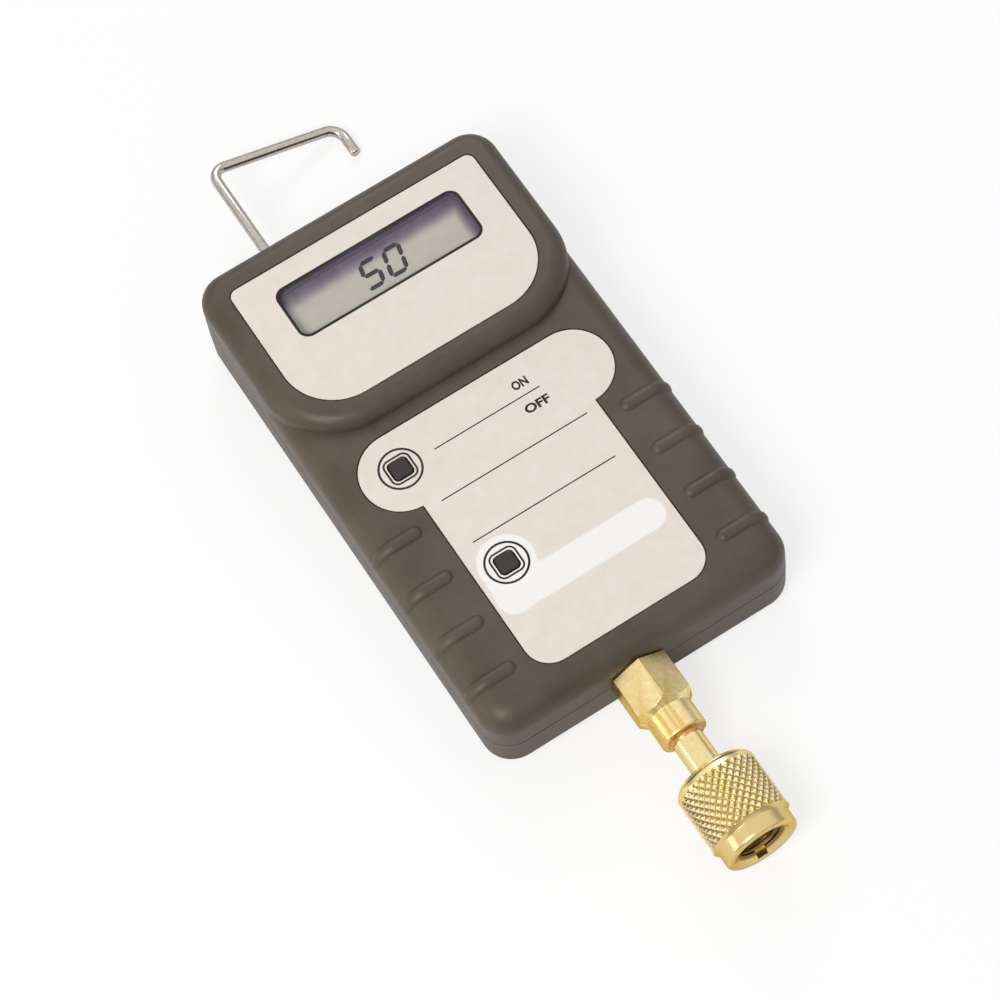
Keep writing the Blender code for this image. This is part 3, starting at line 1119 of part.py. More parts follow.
def build():
    for item in list(bpy.data.objects):
        bpy.data.objects.remove(item, do_unlink=True)
    plastic = surface("case_plastic", (0.115, 0.098, 0.082), 0.55)
    label = surface("label_film", (0.78, 0.73, 0.70), 0.45)
    clear = surface("window_clear", (0.80, 0.82, 0.82), 0.10)
    glass = surface("display_grey", (0.50, 0.51, 0.46), 0.20)
    white_plastic = surface("frame_plastic", (0.72, 0.72, 0.68), 0.50)
    rubber = surface("black_rubber", (0.03, 0.03, 0.03), 0.80)
    board = surface("board_green", (0.03, 0.20, 0.08), 0.45)
    chip = surface("chip_black", (0.02, 0.02, 0.022), 0.50)
    steel = surface("plated_steel", (0.62, 0.61, 0.58), 0.30, 1.0)
    sleeve = surface("blue_sleeve", (0.03, 0.05, 0.25), 0.40)
    brass = surface("brass", (0.78, 0.58, 0.24), 0.32, 1.0)
    braze = surface("braze_copper", (0.55, 0.30, 0.14), 0.40, 1.0)
    battery_wrap = surface("battery_wrap", (0.06, 0.06, 0.07), 0.35)
    red = surface("red_insulation", (0.55, 0.03, 0.03), 0.45)
    ceramic = surface("ceramic_white", (0.75, 0.74, 0.70), 0.50)
    bead = surface("bead_glass", (0.25, 0.12, 0.06), 0.15)

    front_case(plastic)
    rear_case(plastic)
    battery_door(plastic)
    overlays(label)
    display(clear, glass, white_plastic, rubber)
    circuit_board(board)
    board_parts(chip, steel, sleeve)
    board_screws(steel)
    case_screws(steel)
    push_button("upper", UPPER_BUTTON_X, UPPER_BUTTON_Y, plastic, chip, rubber)
    push_button("lower", LOWER_BUTTON_X, LOWER_BUTTON_Y, plastic, chip, rubber)
    battery(battery_wrap)
    battery_snap(rubber)
    battery_leads(red, rubber)
    hex_fitting(brass)
    fitting_fasteners(steel, brass)
    sensor(ceramic, steel, bead)
    inlet_tube(brass, braze)
    coupling_nut(brass)
    coupling_inside(rubber, brass)
    hanging_hook(steel, steel)


build()
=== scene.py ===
# Looks for a handheld digital vacuum gauge, lying on its back. Lengths are millimetres until a mesh is made.
import math

import bpy
import numpy as np
from mathutils import Matrix, Vector


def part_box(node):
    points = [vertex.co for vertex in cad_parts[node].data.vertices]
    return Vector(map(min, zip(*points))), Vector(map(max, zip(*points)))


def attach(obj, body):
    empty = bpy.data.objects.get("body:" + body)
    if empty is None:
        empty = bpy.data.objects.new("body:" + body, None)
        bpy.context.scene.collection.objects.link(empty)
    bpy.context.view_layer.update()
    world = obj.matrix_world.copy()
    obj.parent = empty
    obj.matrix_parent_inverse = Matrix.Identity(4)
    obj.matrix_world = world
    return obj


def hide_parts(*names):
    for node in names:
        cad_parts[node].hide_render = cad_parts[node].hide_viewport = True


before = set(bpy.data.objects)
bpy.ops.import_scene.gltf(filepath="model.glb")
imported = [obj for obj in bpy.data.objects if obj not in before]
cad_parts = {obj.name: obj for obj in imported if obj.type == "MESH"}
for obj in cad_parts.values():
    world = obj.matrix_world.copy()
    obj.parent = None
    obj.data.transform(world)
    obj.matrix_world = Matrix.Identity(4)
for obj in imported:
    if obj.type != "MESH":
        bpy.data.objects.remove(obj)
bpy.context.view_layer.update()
print("frame loaded:", len(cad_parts), "nodes")


def nodeBox(name):  # lowest and highest corner of a CAD node, in millimetres
    low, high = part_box(name)
    return np.array(low) * 1000, np.array(high) * 1000


def nodeMiddle(name):
    low, high = nodeBox(name)
    return (low + high) / 2


# Meshes from numpy. A shape is an (n, 3) array of points and a list of faces.

def facingOut(shape):
    # turns the faces round when the signed volume, a sum of corner triple products, is negative
    points, faces = shape
    volume = 0.0
    for face in faces:
        corner = points[face[0]]
        fan = points[np.asarray(face[1:])]
        volume += np.einsum("ij,ij->i", np.cross(fan[:-1], fan[1:]), np.broadcast_to(corner, fan[:-1].shape)).sum()
    return (points, faces) if volume > 0 else (points, [list(face)[::-1] for face in faces])


def together(shapes):
    # several separate shapes as one set of points and faces
    points, faces, count = [], [], 0
    for shape in shapes:
        shapePoints, shapeFaces = facingOut(shape)
        points.append(shapePoints)
        faces += [[index + count for index in face] for face in shapeFaces]
        count += len(shapePoints)
    return np.concatenate(points), faces


def addObject(name, data):
    item = bpy.data.objects.new(name, data)
    bpy.context.scene.collection.objects.link(item)
    return item


def smoothBy(item, sharpAngle):
    item.data.shade_smooth()
    item.data.set_sharp_from_angle(angle=math.radians(sharpAngle))


def putMesh(name, shape, sharpAngle=32.0):
    points, faces = facingOut(shape)
    mesh = bpy.data.meshes.new(name)
    mesh.from_pydata((np.asarray(points, float) / 1000).tolist(), [], [list(map(int, face)) for face in faces])
    mesh.update()
    item = addObject(name, mesh)
    smoothBy(item, sharpAngle)
    return item


def applyModifiers(item):
    graph = bpy.context.evaluated_depsgraph_get()
    result = bpy.data.meshes.new_from_object(item.evaluated_get(graph))
    item.modifiers.clear()
    old, item.data = item.data, result
    bpy.data.meshes.remove(old)
    result.name = item.name


def makePiece(name, shape, *steps, sharpAngle=32.0):
    # joins and cuts in turn with exact Booleans; then wide faces win at each vertex, so flat parts stay flat
    # beside a rolled edge
    item = putMesh(name, shape, sharpAngle)
    helpers = []
    for operation, *shapes in steps:
        helpers.append(putMesh(name + ".helper", together(shapes)))
        modifier = item.modifiers.new(operation, "BOOLEAN")
        modifier.operation, modifier.solver, modifier.object = operation, "EXACT", helpers[-1]
    if steps:
        applyModifiers(item)
    for helper in helpers:
        mesh = helper.data
        bpy.data.objects.remove(helper)
        bpy.data.meshes.remove(mesh)
    smoothBy(item, sharpAngle)
    modifier = item.modifiers.new("weighted normals", "WEIGHTED_NORMAL")
    modifier.weight, modifier.keep_sharp = 100, True
    applyModifiers(item)
    return item


def gridFaces(rows, columns, closeRows=False):
    # quads between neighbouring rows; columns always close on themselves
    near, step = np.meshgrid(np.arange(rows if closeRows else rows - 1), np.arange(columns), indexing="ij")
    near, far, beside = near * columns, (near + 1) % rows * columns, (step + 1) % columns
    return np.stack([near + step, near + beside, far + beside, far + step], axis=-1).reshape(-1, 4).tolist()


def closedGrid(grid):
    return grid.reshape(-1, 3), gridFaces(*grid.shape[:2], True)


def loft(rings):
    # surface through rings of equal length, given as an array (rings, points, 3), with flat ends
    rings = np.asarray(rings, float)
    rows, columns = rings.shape[:2]
    ends = [list(range(columns))[::-1], list(range((rows - 1) * columns, rows * columns))]
    return rings.reshape(-1, 3), gridFaces(rows, columns) + ends


# Outlines, and bodies made from them

onAxis = 0.02  # the radius at which a turned profile starts and ends, close to its axis


def quarterTurn(steps):
    return np.linspace(0, np.pi / 2, steps + 1)


def arcPoints(centre, radius, start, end, steps):
    # centre + radius * (cos, sin) between two angles in degrees
    angle = np.radians(np.linspace(start, end, steps + 1))
    return np.stack([centre[0] + radius * np.cos(angle), centre[1] + radius * np.sin(angle)], axis=1)


def roundedOutline(xLow, xHigh, yLow, yHigh, lowRadius, highRadius=None, steps=16):
    # four corner arcs joined by straight sides, anticlockwise
    low = max(lowRadius, 0.05)
    high = low if highRadius is None else max(highRadius, 0.05)
    corners = ((xLow + low, yLow + low, low), (xHigh - low, yLow + low, low),
               (xHigh - high, yHigh - high, high), (xLow + high, yHigh - high, high))
    return np.concatenate([arcPoints((x, y), radius, turn, turn + 90, steps)
                           for turn, (x, y, radius) in zip((180, 270, 0, 90), corners)])


def grownOutline(low, high, grow, lowRadius, highRadius=None, steps=16):
    # rounded outline of a box, grown on all its sides
    return roundedOutline(low[0] - grow, high[0] + grow, low[1] - grow, high[1] + grow, lowRadius + grow,
                          None if highRadius is None else highRadius + grow, steps)


def atHeight(outline, z):
    return np.column_stack([outline, np.full(len(outline), z)])


def stacked(outline, levels):
    # loft through an outline at pairs of what it is given, an inset or a growth, and a height
    return loft([atHeight(outline(inset), z) for inset, z in levels])


def slab(outline, low, high):
    return loft([atHeight(outline, low), atHeight(outline, high)])


def boxShape(xLow, xHigh, yLow, yHigh, zLow, zHigh):
    return slab(np.array([(xLow, yLow), (xHigh, yLow), (xHigh, yHigh), (xLow, yHigh)]), zLow, zHigh)


def alongY(outline, low, high):
    # outline in the XZ plane drawn from one Y to another
    return loft([np.column_stack([outline[:, 0], np.full(len(outline), y), outline[:, 1]]) for y in (low, high)])


def turnedGrid(radius, along, x, z, columns):
    # x + r cos a, along, z + r sin a; both have one value a row or are (rows, columns) arrays
    angle = np.arange(columns) / columns * 2 * np.pi
    radius, along = [value if value.ndim == 2 else np.repeat(value[:, None], columns, axis=1)
                     for value in (np.asarray(radius, float), np.asarray(along, float))]
    return np.stack([x + radius * np.cos(angle), along, z + radius * np.sin(angle)], axis=-1)


def turnedY(profile, x, z, columns=72, closed=False):
    # profile of (radius, y) pairs turned about an axis along Y; a closed profile goes round to its start
    profile = np.asarray(profile, float)
    grid = turnedGrid(profile[:, 0], profile[:, 1], x, z, columns)
    return closedGrid(grid) if closed else loft(grid)


def turnedZ(profile, x, y, columns=48):
    # the same about an upright axis
    points, faces = turnedY(profile, 0.0, 0.0, columns)
    return np.column_stack([x + points[:, 0], y + points[:, 2], points[:, 1]]), faces


def rodY(radius, low, high, x, z):
    return turnedY([(radius, low), (radius, high)], x, z, 48)


def rodZ(radius, low, high, x, y, columns=32):
    return turnedZ([(radius, low), (radius, high)], x, y, columns)


def softProfile(profile, sizes, steps=4):
    # swaps the corners named in sizes, from the last to the first so that the numbers stay true, for curves of
    # their two sides: (1-t)^2 a + 2t(1-t) corner + t^2 b
    profile = [np.array(point, float) for point in profile]
    t = np.linspace(0, 1, steps + 1)[:, None]
    for index in sorted(sizes, reverse=True):
        corner = profile[index]
        a, b = [corner + (beside - corner) / np.linalg.norm(beside - corner) * sizes[index]
                for beside in (profile[index - 1], profile[(index + 1) % len(profile)])]
        profile[index:index + 1] = list((1 - t) ** 2 * a + 2 * t * (1 - t) * corner + t ** 2 * b)
    return np.array(profile)


def tubeAlong(path, radii, sides=24):
    # rings square to the path: point + r (cos a * side + sin a * across), the side carried along without twist
    path = np.asarray(path, float)
    forward = np.gradient(path, axis=0)
    forward /= np.linalg.norm(forward, axis=1)[:, None]
    side = np.cross(forward[0], (0.3, 0.2, 0.93))
    angle = np.arange(sides) / sides * 2 * np.pi
    rings = []
    for point, ahead, radius in zip(path, forward, radii):
        side = side - ahead * side.dot(ahead)
        side /= np.linalg.norm(side)
        across = np.cross(ahead, side)
        rings.append(point + radius * (np.cos(angle)[:, None] * side + np.sin(angle)[:, None] * across))
    return loft(rings)


# Shader nodes

def screenColour(red, green, blue):  # a colour as it looks on the screen, 0 to 255, to the shader's linear value
    value = np.array([red, green, blue]) / 255
    linear = np.where(value <= 0.04045, value / 12.92, ((value + 0.055) / 1.055) ** 2.4)
    return (*[round(float(part), 5) for part in linear], 1.0)


def feed(tree, source, socket):  # links a socket, or sets a plain value; three numbers are a screen colour
    if isinstance(source, bpy.types.NodeSocket):
        tree.links.new(source, socket)
    elif source is not None:
        isColour = isinstance(source, tuple) and len(source) == 3
        socket.default_value = screenColour(*source) if isColour else source


def addNode(tree, kind, values=None, **settings):
    node = tree.nodes.new(kind)
    for name, value in settings.items():
        setattr(node, name, value)
    for key, value in (values or {}).items():
        feed(tree, value, node.inputs[key])
    return node


def calc(tree, operation, *values, clamp=False):
    return addNode(tree, "ShaderNodeMath", dict(enumerate(values)), operation=operation, use_clamp=clamp).outputs[0]


def times(tree, a, b, clamp=False):
    return calc(tree, "MULTIPLY", a, b, clamp=clamp)


def larger(tree, a, b):
    return calc(tree, "MAXIMUM", a, b)


def mixColour(tree, amount, low, high):
    return addNode(tree, "ShaderNodeMix", {0: amount, 6: low, 7: high}, data_type="RGBA").outputs[2]


def spread(tree, value, fromLow=0.3, fromHigh=0.7, toLow=0.0, toHigh=1.0, smooth=False):
    values = {"Value": value, "From Min": fromLow, "From Max": fromHigh, "To Min": toLow, "To Max": toHigh}
    kind = "SMOOTHSTEP" if smooth else "LINEAR"
    return addNode(tree, "ShaderNodeMapRange", values, interpolation_type=kind).outputs["Result"]


def objectPlace(tree):
    return addNode(tree, "ShaderNodeTexCoord").outputs["Object"]


def objectAxes(tree):
    return addNode(tree, "ShaderNodeSeparateXYZ", {0: objectPlace(tree)}).outputs


def noiseValue(tree, scale, detail=2.0, roughness=0.5):
    values = {"Vector": objectPlace(tree), "Scale": scale, "Detail": detail, "Roughness": roughness}
    return addNode(tree, "ShaderNodeTexNoise", values).outputs["Fac"]


def newGroup(name, inputs, *outputs):
    group = bpy.data.node_groups.new(name, "ShaderNodeTree")
    for label, value in inputs.items():
        group.interface.new_socket(label, in_out="INPUT", socket_type="NodeSocketFloat").default_value = value
    for label in outputs:
        group.interface.new_socket(label, in_out="OUTPUT", socket_type="NodeSocketFloat")
    return group, addNode(group, "NodeGroupInput").outputs, addNode(group, "NodeGroupOutput").inputs


def useGroup(tree, group, **values):  # a group node with its sockets fed; spaces in names are written as _
    named = {name.replace("_", " "): value for name, value in values.items()}
    return addNode(tree, "ShaderNodeGroup", named, node_tree=group).outputs


def makeMouldGrain():
    # fine spark grain from two noises, and a slow mottle for colour and gloss
    group, given, out = newGroup("mouldGrain", {"Grain Scale": 3500.0, "Mottle Scale": 90.0}, "Height", "Mottle")
    fine = noiseValue(group, given["Grain Scale"], 3.0, 0.6)
    coarse = noiseValue(group, times(group, given["Grain Scale"], 0.31), 1.0)
    feed(group, calc(group, "ADD", times(group, fine, 0.65), times(group, coarse, 0.35)), out["Height"])
    feed(group, noiseValue(group, given["Mottle Scale"], 4.0, 0.6), out["Mottle"])
    return group


def makeDust():
    # pale specks and a thin haze: broken noise above a threshold
    group, given, out = newGroup("dustFilm", {"Amount": 0.3, "Speck Scale": 1400.0}, "Mask")
    specks = spread(group, noiseValue(group, given["Speck Scale"]), 0.64, 0.80)
    haze = spread(group, noiseValue(group, 60.0, 3.0), 0.42, 0.75, 0.0, 0.5)
    feed(group, times(group, larger(group, specks, haze), given["Amount"], clamp=True), out["Mask"])
    return group


def makeTurnedLines():
    # rings left by a turning tool: noise that runs along Y only, with a little waviness
    group, given, out = newGroup("turnedLines", {"Lines": 9000.0, "Scratch": 0.3}, "Height", "Tint")
    values = {"W": times(group, objectAxes(group)["Y"], given["Lines"]), "Scale": 1.0, "Detail": 3.0}
    line = addNode(group, "ShaderNodeTexNoise", values, noise_dimensions="1D").outputs["Fac"]
    scratch = times(group, noiseValue(group, 700.0, 4.0, 0.65), given["Scratch"])
    feed(group, calc(group, "ADD", line, scratch), out["Height"])
    feed(group, noiseValue(group, 1500.0, 4.0, 0.6), out["Tint"])
    return group


def makeWornEdge():
    # raised edges from the mesh's own curvature, broken by noise
    group, given, out = newGroup("wornEdge", {"Low": 0.52, "High": 0.60}, "Mask")
    edge = spread(group, addNode(group, "ShaderNodeNewGeometry").outputs["Pointiness"], given["Low"], given["High"])
    broken = spread(group, noiseValue(group, 900.0, 3.0), 0.3, 0.7, 0.35, 1.0)
    feed(group, times(group, edge, broken, clamp=True), out["Mask"])
    return group


def makeRoundedBox():
    # distance in millimetres from the outline of a rounded box, negative inside:
    # q = |p - centre| - (half - radius); distance = |max(q, 0)| + min(max(qx, qy), 0) - radius
    group, given, out = newGroup("roundedBox", {"Centre X": 0.0, "Centre Y": 0.0, "Half Width": 1.0,
                                                "Half Height": 1.0, "Radius": 0.5}, "Distance")
    place = objectAxes(group)
    sides = []
    for axis, half in (("X", "Half Width"), ("Y", "Half Height")):
        offset = calc(group, "SUBTRACT", times(group, place[axis], 1000.0), given["Centre " + axis])
        core = calc(group, "SUBTRACT", given[half], given["Radius"])
        sides.append(calc(group, "SUBTRACT", calc(group, "ABSOLUTE", offset), core))
    square = calc(group, "ADD", *[calc(group, "POWER", larger(group, side, 0.0), 2.0) for side in sides])
    inner = calc(group, "MINIMUM", larger(group, *sides), 0.0)
    total = calc(group, "ADD", calc(group, "SQRT", square), inner)
    feed(group, calc(group, "SUBTRACT", total, given["Radius"]), out["Distance"])
    return group


mouldGrain, dustFilm, turnedLines, wornEdge, roundedBox = (
    makeMouldGrain(), makeDust(), makeTurnedLines(), makeWornEdge(), makeRoundedBox())


def boxDistance(tree, x, y, halfWide, halfHigh, radius):
    return useGroup(tree, roundedBox, Centre_X=x, Centre_Y=y, Half_Width=halfWide, Half_Height=halfHigh,
                    Radius=radius)["Distance"]


# Materials. Every one goes into finishes under its own name.

finishes = {}


def startMaterial(name, **values):  # a Principled material with plain values on its own sockets
    material = finishes[name] = bpy.data.materials.new(name)
    material.use_nodes = True
    tree = material.node_tree
    shader = tree.nodes["Principled BSDF"]
    for label, value in values.items():
        feed(tree, value, shader.inputs[label.replace("_", " ")])
    return tree, shader


def addBump(tree, shader, height, strength, distance, edge=None):
    # bump over a rounded look on crisp edges
    normal = addNode(tree, "ShaderNodeBevel", {"Radius": edge}, samples=4).outputs[0] if edge else None
    values = {"Strength": strength, "Distance": distance, "Height": height, "Normal": normal}
    feed(tree, addNode(tree, "ShaderNodeBump", values).outputs[0], shader.inputs["Normal"])


def mouldedMaterial(name, colour, light, roughness, grain=3500.0, bump=0.12, dust=0.25, edge=0.00018, specular=0.5,
                    tint=(255, 255, 255), draw=None):
    # moulded plastic or rubber: spark grain, slow mottle, dust and soft edges, then whatever draw adds
    tree, shader = startMaterial(name, Specular_IOR_Level=specular, Specular_Tint=tint)
    surface = useGroup(tree, mouldGrain, Grain_Scale=grain)
    base = mixColour(tree, spread(tree, surface["Mottle"]), colour, light)
    base = mixColour(tree, useGroup(tree, dustFilm, Amount=dust)["Mask"], base, (150, 142, 130))
    feed(tree, draw(tree, base) if draw else base, shader.inputs["Base Color"])
    feed(tree, spread(tree, surface["Mottle"], 0.3, 0.7, roughness - 0.05, roughness + 0.07),
         shader.inputs["Roughness"])
    addBump(tree, shader, surface["Height"], bump, 0.0001, edge)


def metalMaterial(name, colour, dark, roughness, lines=9000.0, scratch=0.3, bump=0.10, worn=None, edge=0.00012,
                  tint=(255, 255, 255)):
    # turned metal: tool rings, slow tint, brighter worn edges
    tree, shader = startMaterial(name, Metallic=1.0, Specular_Tint=tint)
    ring = useGroup(tree, turnedLines, Lines=lines, Scratch=scratch)
    base = mixColour(tree, spread(tree, ring["Tint"]), dark, colour)
    if worn:
        base = mixColour(tree, useGroup(tree, wornEdge)["Mask"], base, worn)
    feed(tree, base, shader.inputs["Base Color"])
    feed(tree, spread(tree, ring["Tint"], 0.3, 0.7, roughness + 0.04, roughness - 0.03), shader.inputs["Roughness"])
    addBump(tree, shader, ring["Height"], bump, 0.00006, edge)


def labelMaterial(name, draw):
    # matt printed film: faint paper-like mottle, then whatever draw puts on it
    tree, shader = startMaterial(name, Specular_IOR_Level=0.25)
    surface = useGroup(tree, mouldGrain, Grain_Scale=1800.0, Mottle_Scale=240.0)
    base = draw(tree, mixColour(tree, spread(tree, surface["Mottle"]), (221, 213, 203), (228, 221, 212)))
    dust = useGroup(tree, dustFilm, Amount=0.10, Speck_Scale=900.0)["Mask"]
    feed(tree, mixColour(tree, dust, base, (196, 186, 176)), shader.inputs["Base Color"])
    feed(tree, spread(tree, surface["Mottle"], 0.3, 0.7, 0.42, 0.55), shader.inputs["Roughness"])
    addBump(tree, shader, surface["Height"], 0.06, 0.00008, 0.0001)


def boardMaterial(name):
    # solder mask with pale copper runs under it, from a brick pattern
    tree, shader = startMaterial(name, Roughness=0.38)
    values = {"Vector": objectPlace(tree), "Scale": 260.0, "Mortar Size": 0.03, "Mortar Smooth": 0.1, "Bias": 0.0,
              "Color1": (18, 74, 38), "Color2": (24, 84, 44), "Mortar": (54, 128, 74)}
    runs = addNode(tree, "ShaderNodeTexBrick", values, offset=0.37, squash=1.4).outputs["Color"]
    surface = useGroup(tree, mouldGrain, Grain_Scale=2400.0)
    feed(tree, mixColour(tree, spread(tree, surface["Mottle"], 0.3, 0.7, 0.0, 0.3), runs, (14, 58, 30)),
         shader.inputs["Base Color"])
    addBump(tree, shader, surface["Height"], 0.05, 0.00005, 0.0001)


caseFinish = dict(colour=(68, 60, 52), light=(80, 72, 63), roughness=0.43, grain=2800.0, bump=0.2, dust=0.12,
                  specular=0.42, tint=(255, 245, 230))
cover = dict(grain=1200.0, bump=0.04, dust=0.05)
printed = dict(grain=1800.0, bump=0.02, dust=0.03, specular=0.25)
brassEdge = (238, 216, 164)

mouldedMaterial("casePlastic", **caseFinish)
for name, colour, light, roughness, rest in (
        ("keyPlastic", (36, 31, 27), (46, 40, 35), 0.5, dict(grain=4200.0, dust=0.08, specular=0.35)),
        ("blackRubber", (22, 21, 21), (34, 33, 32), 0.75, dict(grain=2600.0, dust=0.18)),
        ("framePlastic", (206, 206, 198), (218, 218, 211), 0.5, dict(dust=0.1)),
        ("chipEpoxy", (24, 24, 26), (36, 36, 39), 0.58, dict(grain=5200.0, dust=0.08)),
        ("batteryWrap", (38, 40, 44), (48, 50, 55), 0.35, dict(grain=900.0, bump=0.03, dust=0.05)),
        ("redInsulation", (150, 22, 20), (172, 32, 28), 0.45, cover),
        ("blackInsulation", (26, 26, 26), (40, 40, 40), 0.45, cover),
        ("capacitorSleeve", (32, 44, 104), (40, 54, 122), 0.38, dict(grain=900.0, bump=0.03, dust=0.05)),
        ("headerCeramic", (206, 202, 192), (220, 216, 208), 0.5, dict(grain=3000.0, dust=0.05)),
        ("beadGlass", (96, 46, 22), (120, 60, 30), 0.16, dict(grain=800.0, bump=0.02, dust=0.0)),
        ("printInk", (18, 15, 13), (26, 22, 20), 0.5, printed),
        ("segmentDark", (24, 25, 34), (34, 34, 44), 0.5, dict(grain=1500.0, bump=0.01, dust=0.0, specular=0.2))):
    mouldedMaterial(name, colour, light, roughness, **rest)
for name, colour, dark, roughness, rest in (
        ("turnedBrass", (232, 202, 128), (220, 186, 110), 0.25,
         dict(scratch=0.6, bump=0.14, worn=(250, 232, 184), tint=brassEdge)),
        ("drawnBrass", (246, 226, 172), (236, 210, 146), 0.17, dict(lines=2500.0, bump=0.06, tint=brassEdge)),
        ("dullBrass", (156, 122, 70), (124, 92, 50), 0.4, dict(scratch=0.8, bump=0.16, worn=(190, 154, 96))),
        ("brazeCopper", (222, 176, 112), (186, 128, 78), 0.34, dict(lines=1500.0, scratch=0.9, bump=0.25)),
        ("nickelWire", (204, 198, 190), (172, 166, 158), 0.16, dict(lines=1800.0, scratch=0.6, bump=0.05)),
        ("platedSteel", (188, 186, 182), (160, 158, 154), 0.30, dict(lines=6000.0))):
    metalMaterial(name, colour, dark, roughness, **rest)
boardMaterial("boardGreen")

nodeFinishes = {
    "boardGreen": ["circuit_board"],
    "chipEpoxy": ["microcontroller", "amplifier_chip", "upper_switch", "lower_switch"],
    "framePlastic": ["display_frame"],
    "blackRubber": ["contact_strip_upper", "contact_strip_lower", "upper_switch_stem", "lower_switch_stem",
                    "battery_snap"],
    "platedSteel": ["crystal", "board_screw_1", "board_screw_2", "board_screw_3", "board_screw_4", "fitting_washer",
                    "hook_clip"],
    "capacitorSleeve": ["filter_capacitor"],
    "batteryWrap": ["battery"],
    "redInsulation": ["red_lead"],
    "blackInsulation": ["black_lead"],
    "turnedBrass": ["lock_nut"],
    "headerCeramic": ["sensor_header"],
    "beadGlass": ["thermistor_bead"],
}
for finish, names in nodeFinishes.items():
    for name in names:
        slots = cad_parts[name].data.materials
        for index in range(len(slots)):
            slots[index] = finishes[finish]
        if not len(slots):
            slots.append(finishes[finish])
print("finishes on the CAD pieces")


def dress(item, finish, body, slotName, *nodes):
    # one finish, the body that carries the piece, its slot (not used), and the CAD nodes that it stands for
    item.data.materials.clear()
    item.data.materials.append(finishes[finish])
    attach(item, body)
    if nodes:
        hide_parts(*nodes)


# Case: outlines, places and the two shells

caseForm = dict(wall=2.0, corner=7.0, frontRoll=5.6, backRoll=3.3, draft=0.012, parting=10.8, gap=0.3, past=2.0,
                bodyHeight=21.5, headLength=49.85, headCorner=18.0, headWall=2.4, headExtraWall=0.2, lipHeight=0.8,
                lipInset=1.2, cornerSteps=20, rollSteps=14, innerCornerSteps=8, innerRollSteps=6, postRadius=2.2,
                postHole=1.1, postDepth=4.8, bossRadius=3.0, bossHole=1.55, bossDepth=6.3, bossFoot=4.3,
                bossFootTop=1.5, fittingHole=5.85, padMargin=0.8, padHeight=1.2)
halfWidth, halfLength, headHeight = nodeBox("rear_case")[1][0], *nodeBox("front_case")[1][1:]
bodyRoof = caseForm["bodyHeight"] - caseForm["wall"]
headRoof = headHeight - caseForm["headWall"]
headLowEdge = halfLength - caseForm["headLength"]
headStep = headHeight - caseForm["bodyHeight"]


def wallInset(z):  # how far the drafted wall stands in at a height above the parting line
    return caseForm["draft"] * (z - caseForm["parting"])


def caseOutline(inset, steps=caseForm["cornerSteps"]):
    return grownOutline((-halfWidth, -halfLength), (halfWidth, halfLength), -inset, caseForm["corner"], steps=steps)


def headOutline(inset):
    return grownOutline((-halfWidth, headLowEdge), (halfWidth, halfLength), -inset, caseForm["headCorner"],
                        caseForm["corner"], caseForm["cornerSteps"])


def rolledShell(outline, wallEnd, face, roll, steps=caseForm["rollSteps"]):
    # drafted wall up to the bend, then a quarter circle: inset roll (1 - cos a), height bend + roll sin a
    side = 1 if face > wallEnd else -1
    bend = face - side * roll
    inset = caseForm["draft"] * abs(bend - wallEnd)
    return stacked(outline, [(0, wallEnd)] + [(inset + roll * (1 - np.cos(turn)), bend + side * roll * np.sin(turn))
                                              for turn in quarterTurn(steps)])


def rolledHollow(wallEnd, face, roll):
    # the inside of a shell, one wall thickness in
    wall = caseForm["wall"]
    return rolledShell(lambda inset: caseOutline(wall + inset, caseForm["innerCornerSteps"]), wallEnd, face,
                       roll - wall, caseForm["innerRollSteps"])


def headShell():
    # raised head: it leaves the body's wall at the start of the roll, then rolls over to its own flat face
    form = caseForm
    bend, body = form["bodyHeight"] - form["frontRoll"], form["bodyHeight"]
    root, emerge = bend - 2 * form["lipHeight"], bend + form["gap"]
    levels = [(wallInset(root) + form["gap"], root), (wallInset(emerge), emerge)]
    levels += [(wallInset(body) + headStep * (1 - np.cos(turn)), body + headStep * np.sin(turn))
               for turn in quarterTurn(form["rollSteps"])]
    return stacked(headOutline, levels)


def headHollow():
    form = caseForm
    inner = form["wall"] + form["headExtraWall"]
    roll, inset = headStep - inner, inner + wallInset(form["bodyHeight"])
    levels = [(inset + form["wall"] / 2, bodyRoof - form["frontRoll"] / 2), (inset, bodyRoof - form["wall"] / 2)]
    levels += [(inset + roll * (1 - np.cos(turn)), headRoof - roll + roll * np.sin(turn)) for turn in quarterTurn(5)]
    return stacked(headOutline, levels)


ribForm = dict(count=4, endDistance=11.75, pitch=12.35, radius=1.89, height=0.975, reach=12.7, drop=1.2, fade=3,
               tipRadius=0.08, sides=32)


def gripRib(side, y):
    # half-round bar: a round inner end, a straight run, then round the roll while it sinks into the wall
    form = ribForm
    radius, sunk = form["radius"], form["radius"] - form["height"]
    bendX = halfWidth - wallInset(caseForm["bodyHeight"]) - caseForm["frontRoll"]
    bendZ = caseForm["bodyHeight"] - caseForm["frontRoll"]
    points = [(halfWidth - form["reach"] + radius * (1 - np.sin(turn)), caseForm["bodyHeight"] - sunk,
               max(radius * np.cos(turn), form["tipRadius"])) for turn in np.radians(np.linspace(86, 0, 9))]
    for share in np.linspace(0, 1, 13):
        angle = np.pi / 2 * share
        reach = caseForm["frontRoll"] - sunk - form["height"] * share ** form["fade"]
        points.append((bendX + reach * np.sin(angle), bendZ + reach * np.cos(angle), radius))
    points.append((points[-1][0] - radius / 3, bendZ - form["drop"], radius))
    x, z, radii = np.array(points).T
    return tubeAlong(np.column_stack([side * x, np.full(len(x), y), z]), radii, form["sides"])


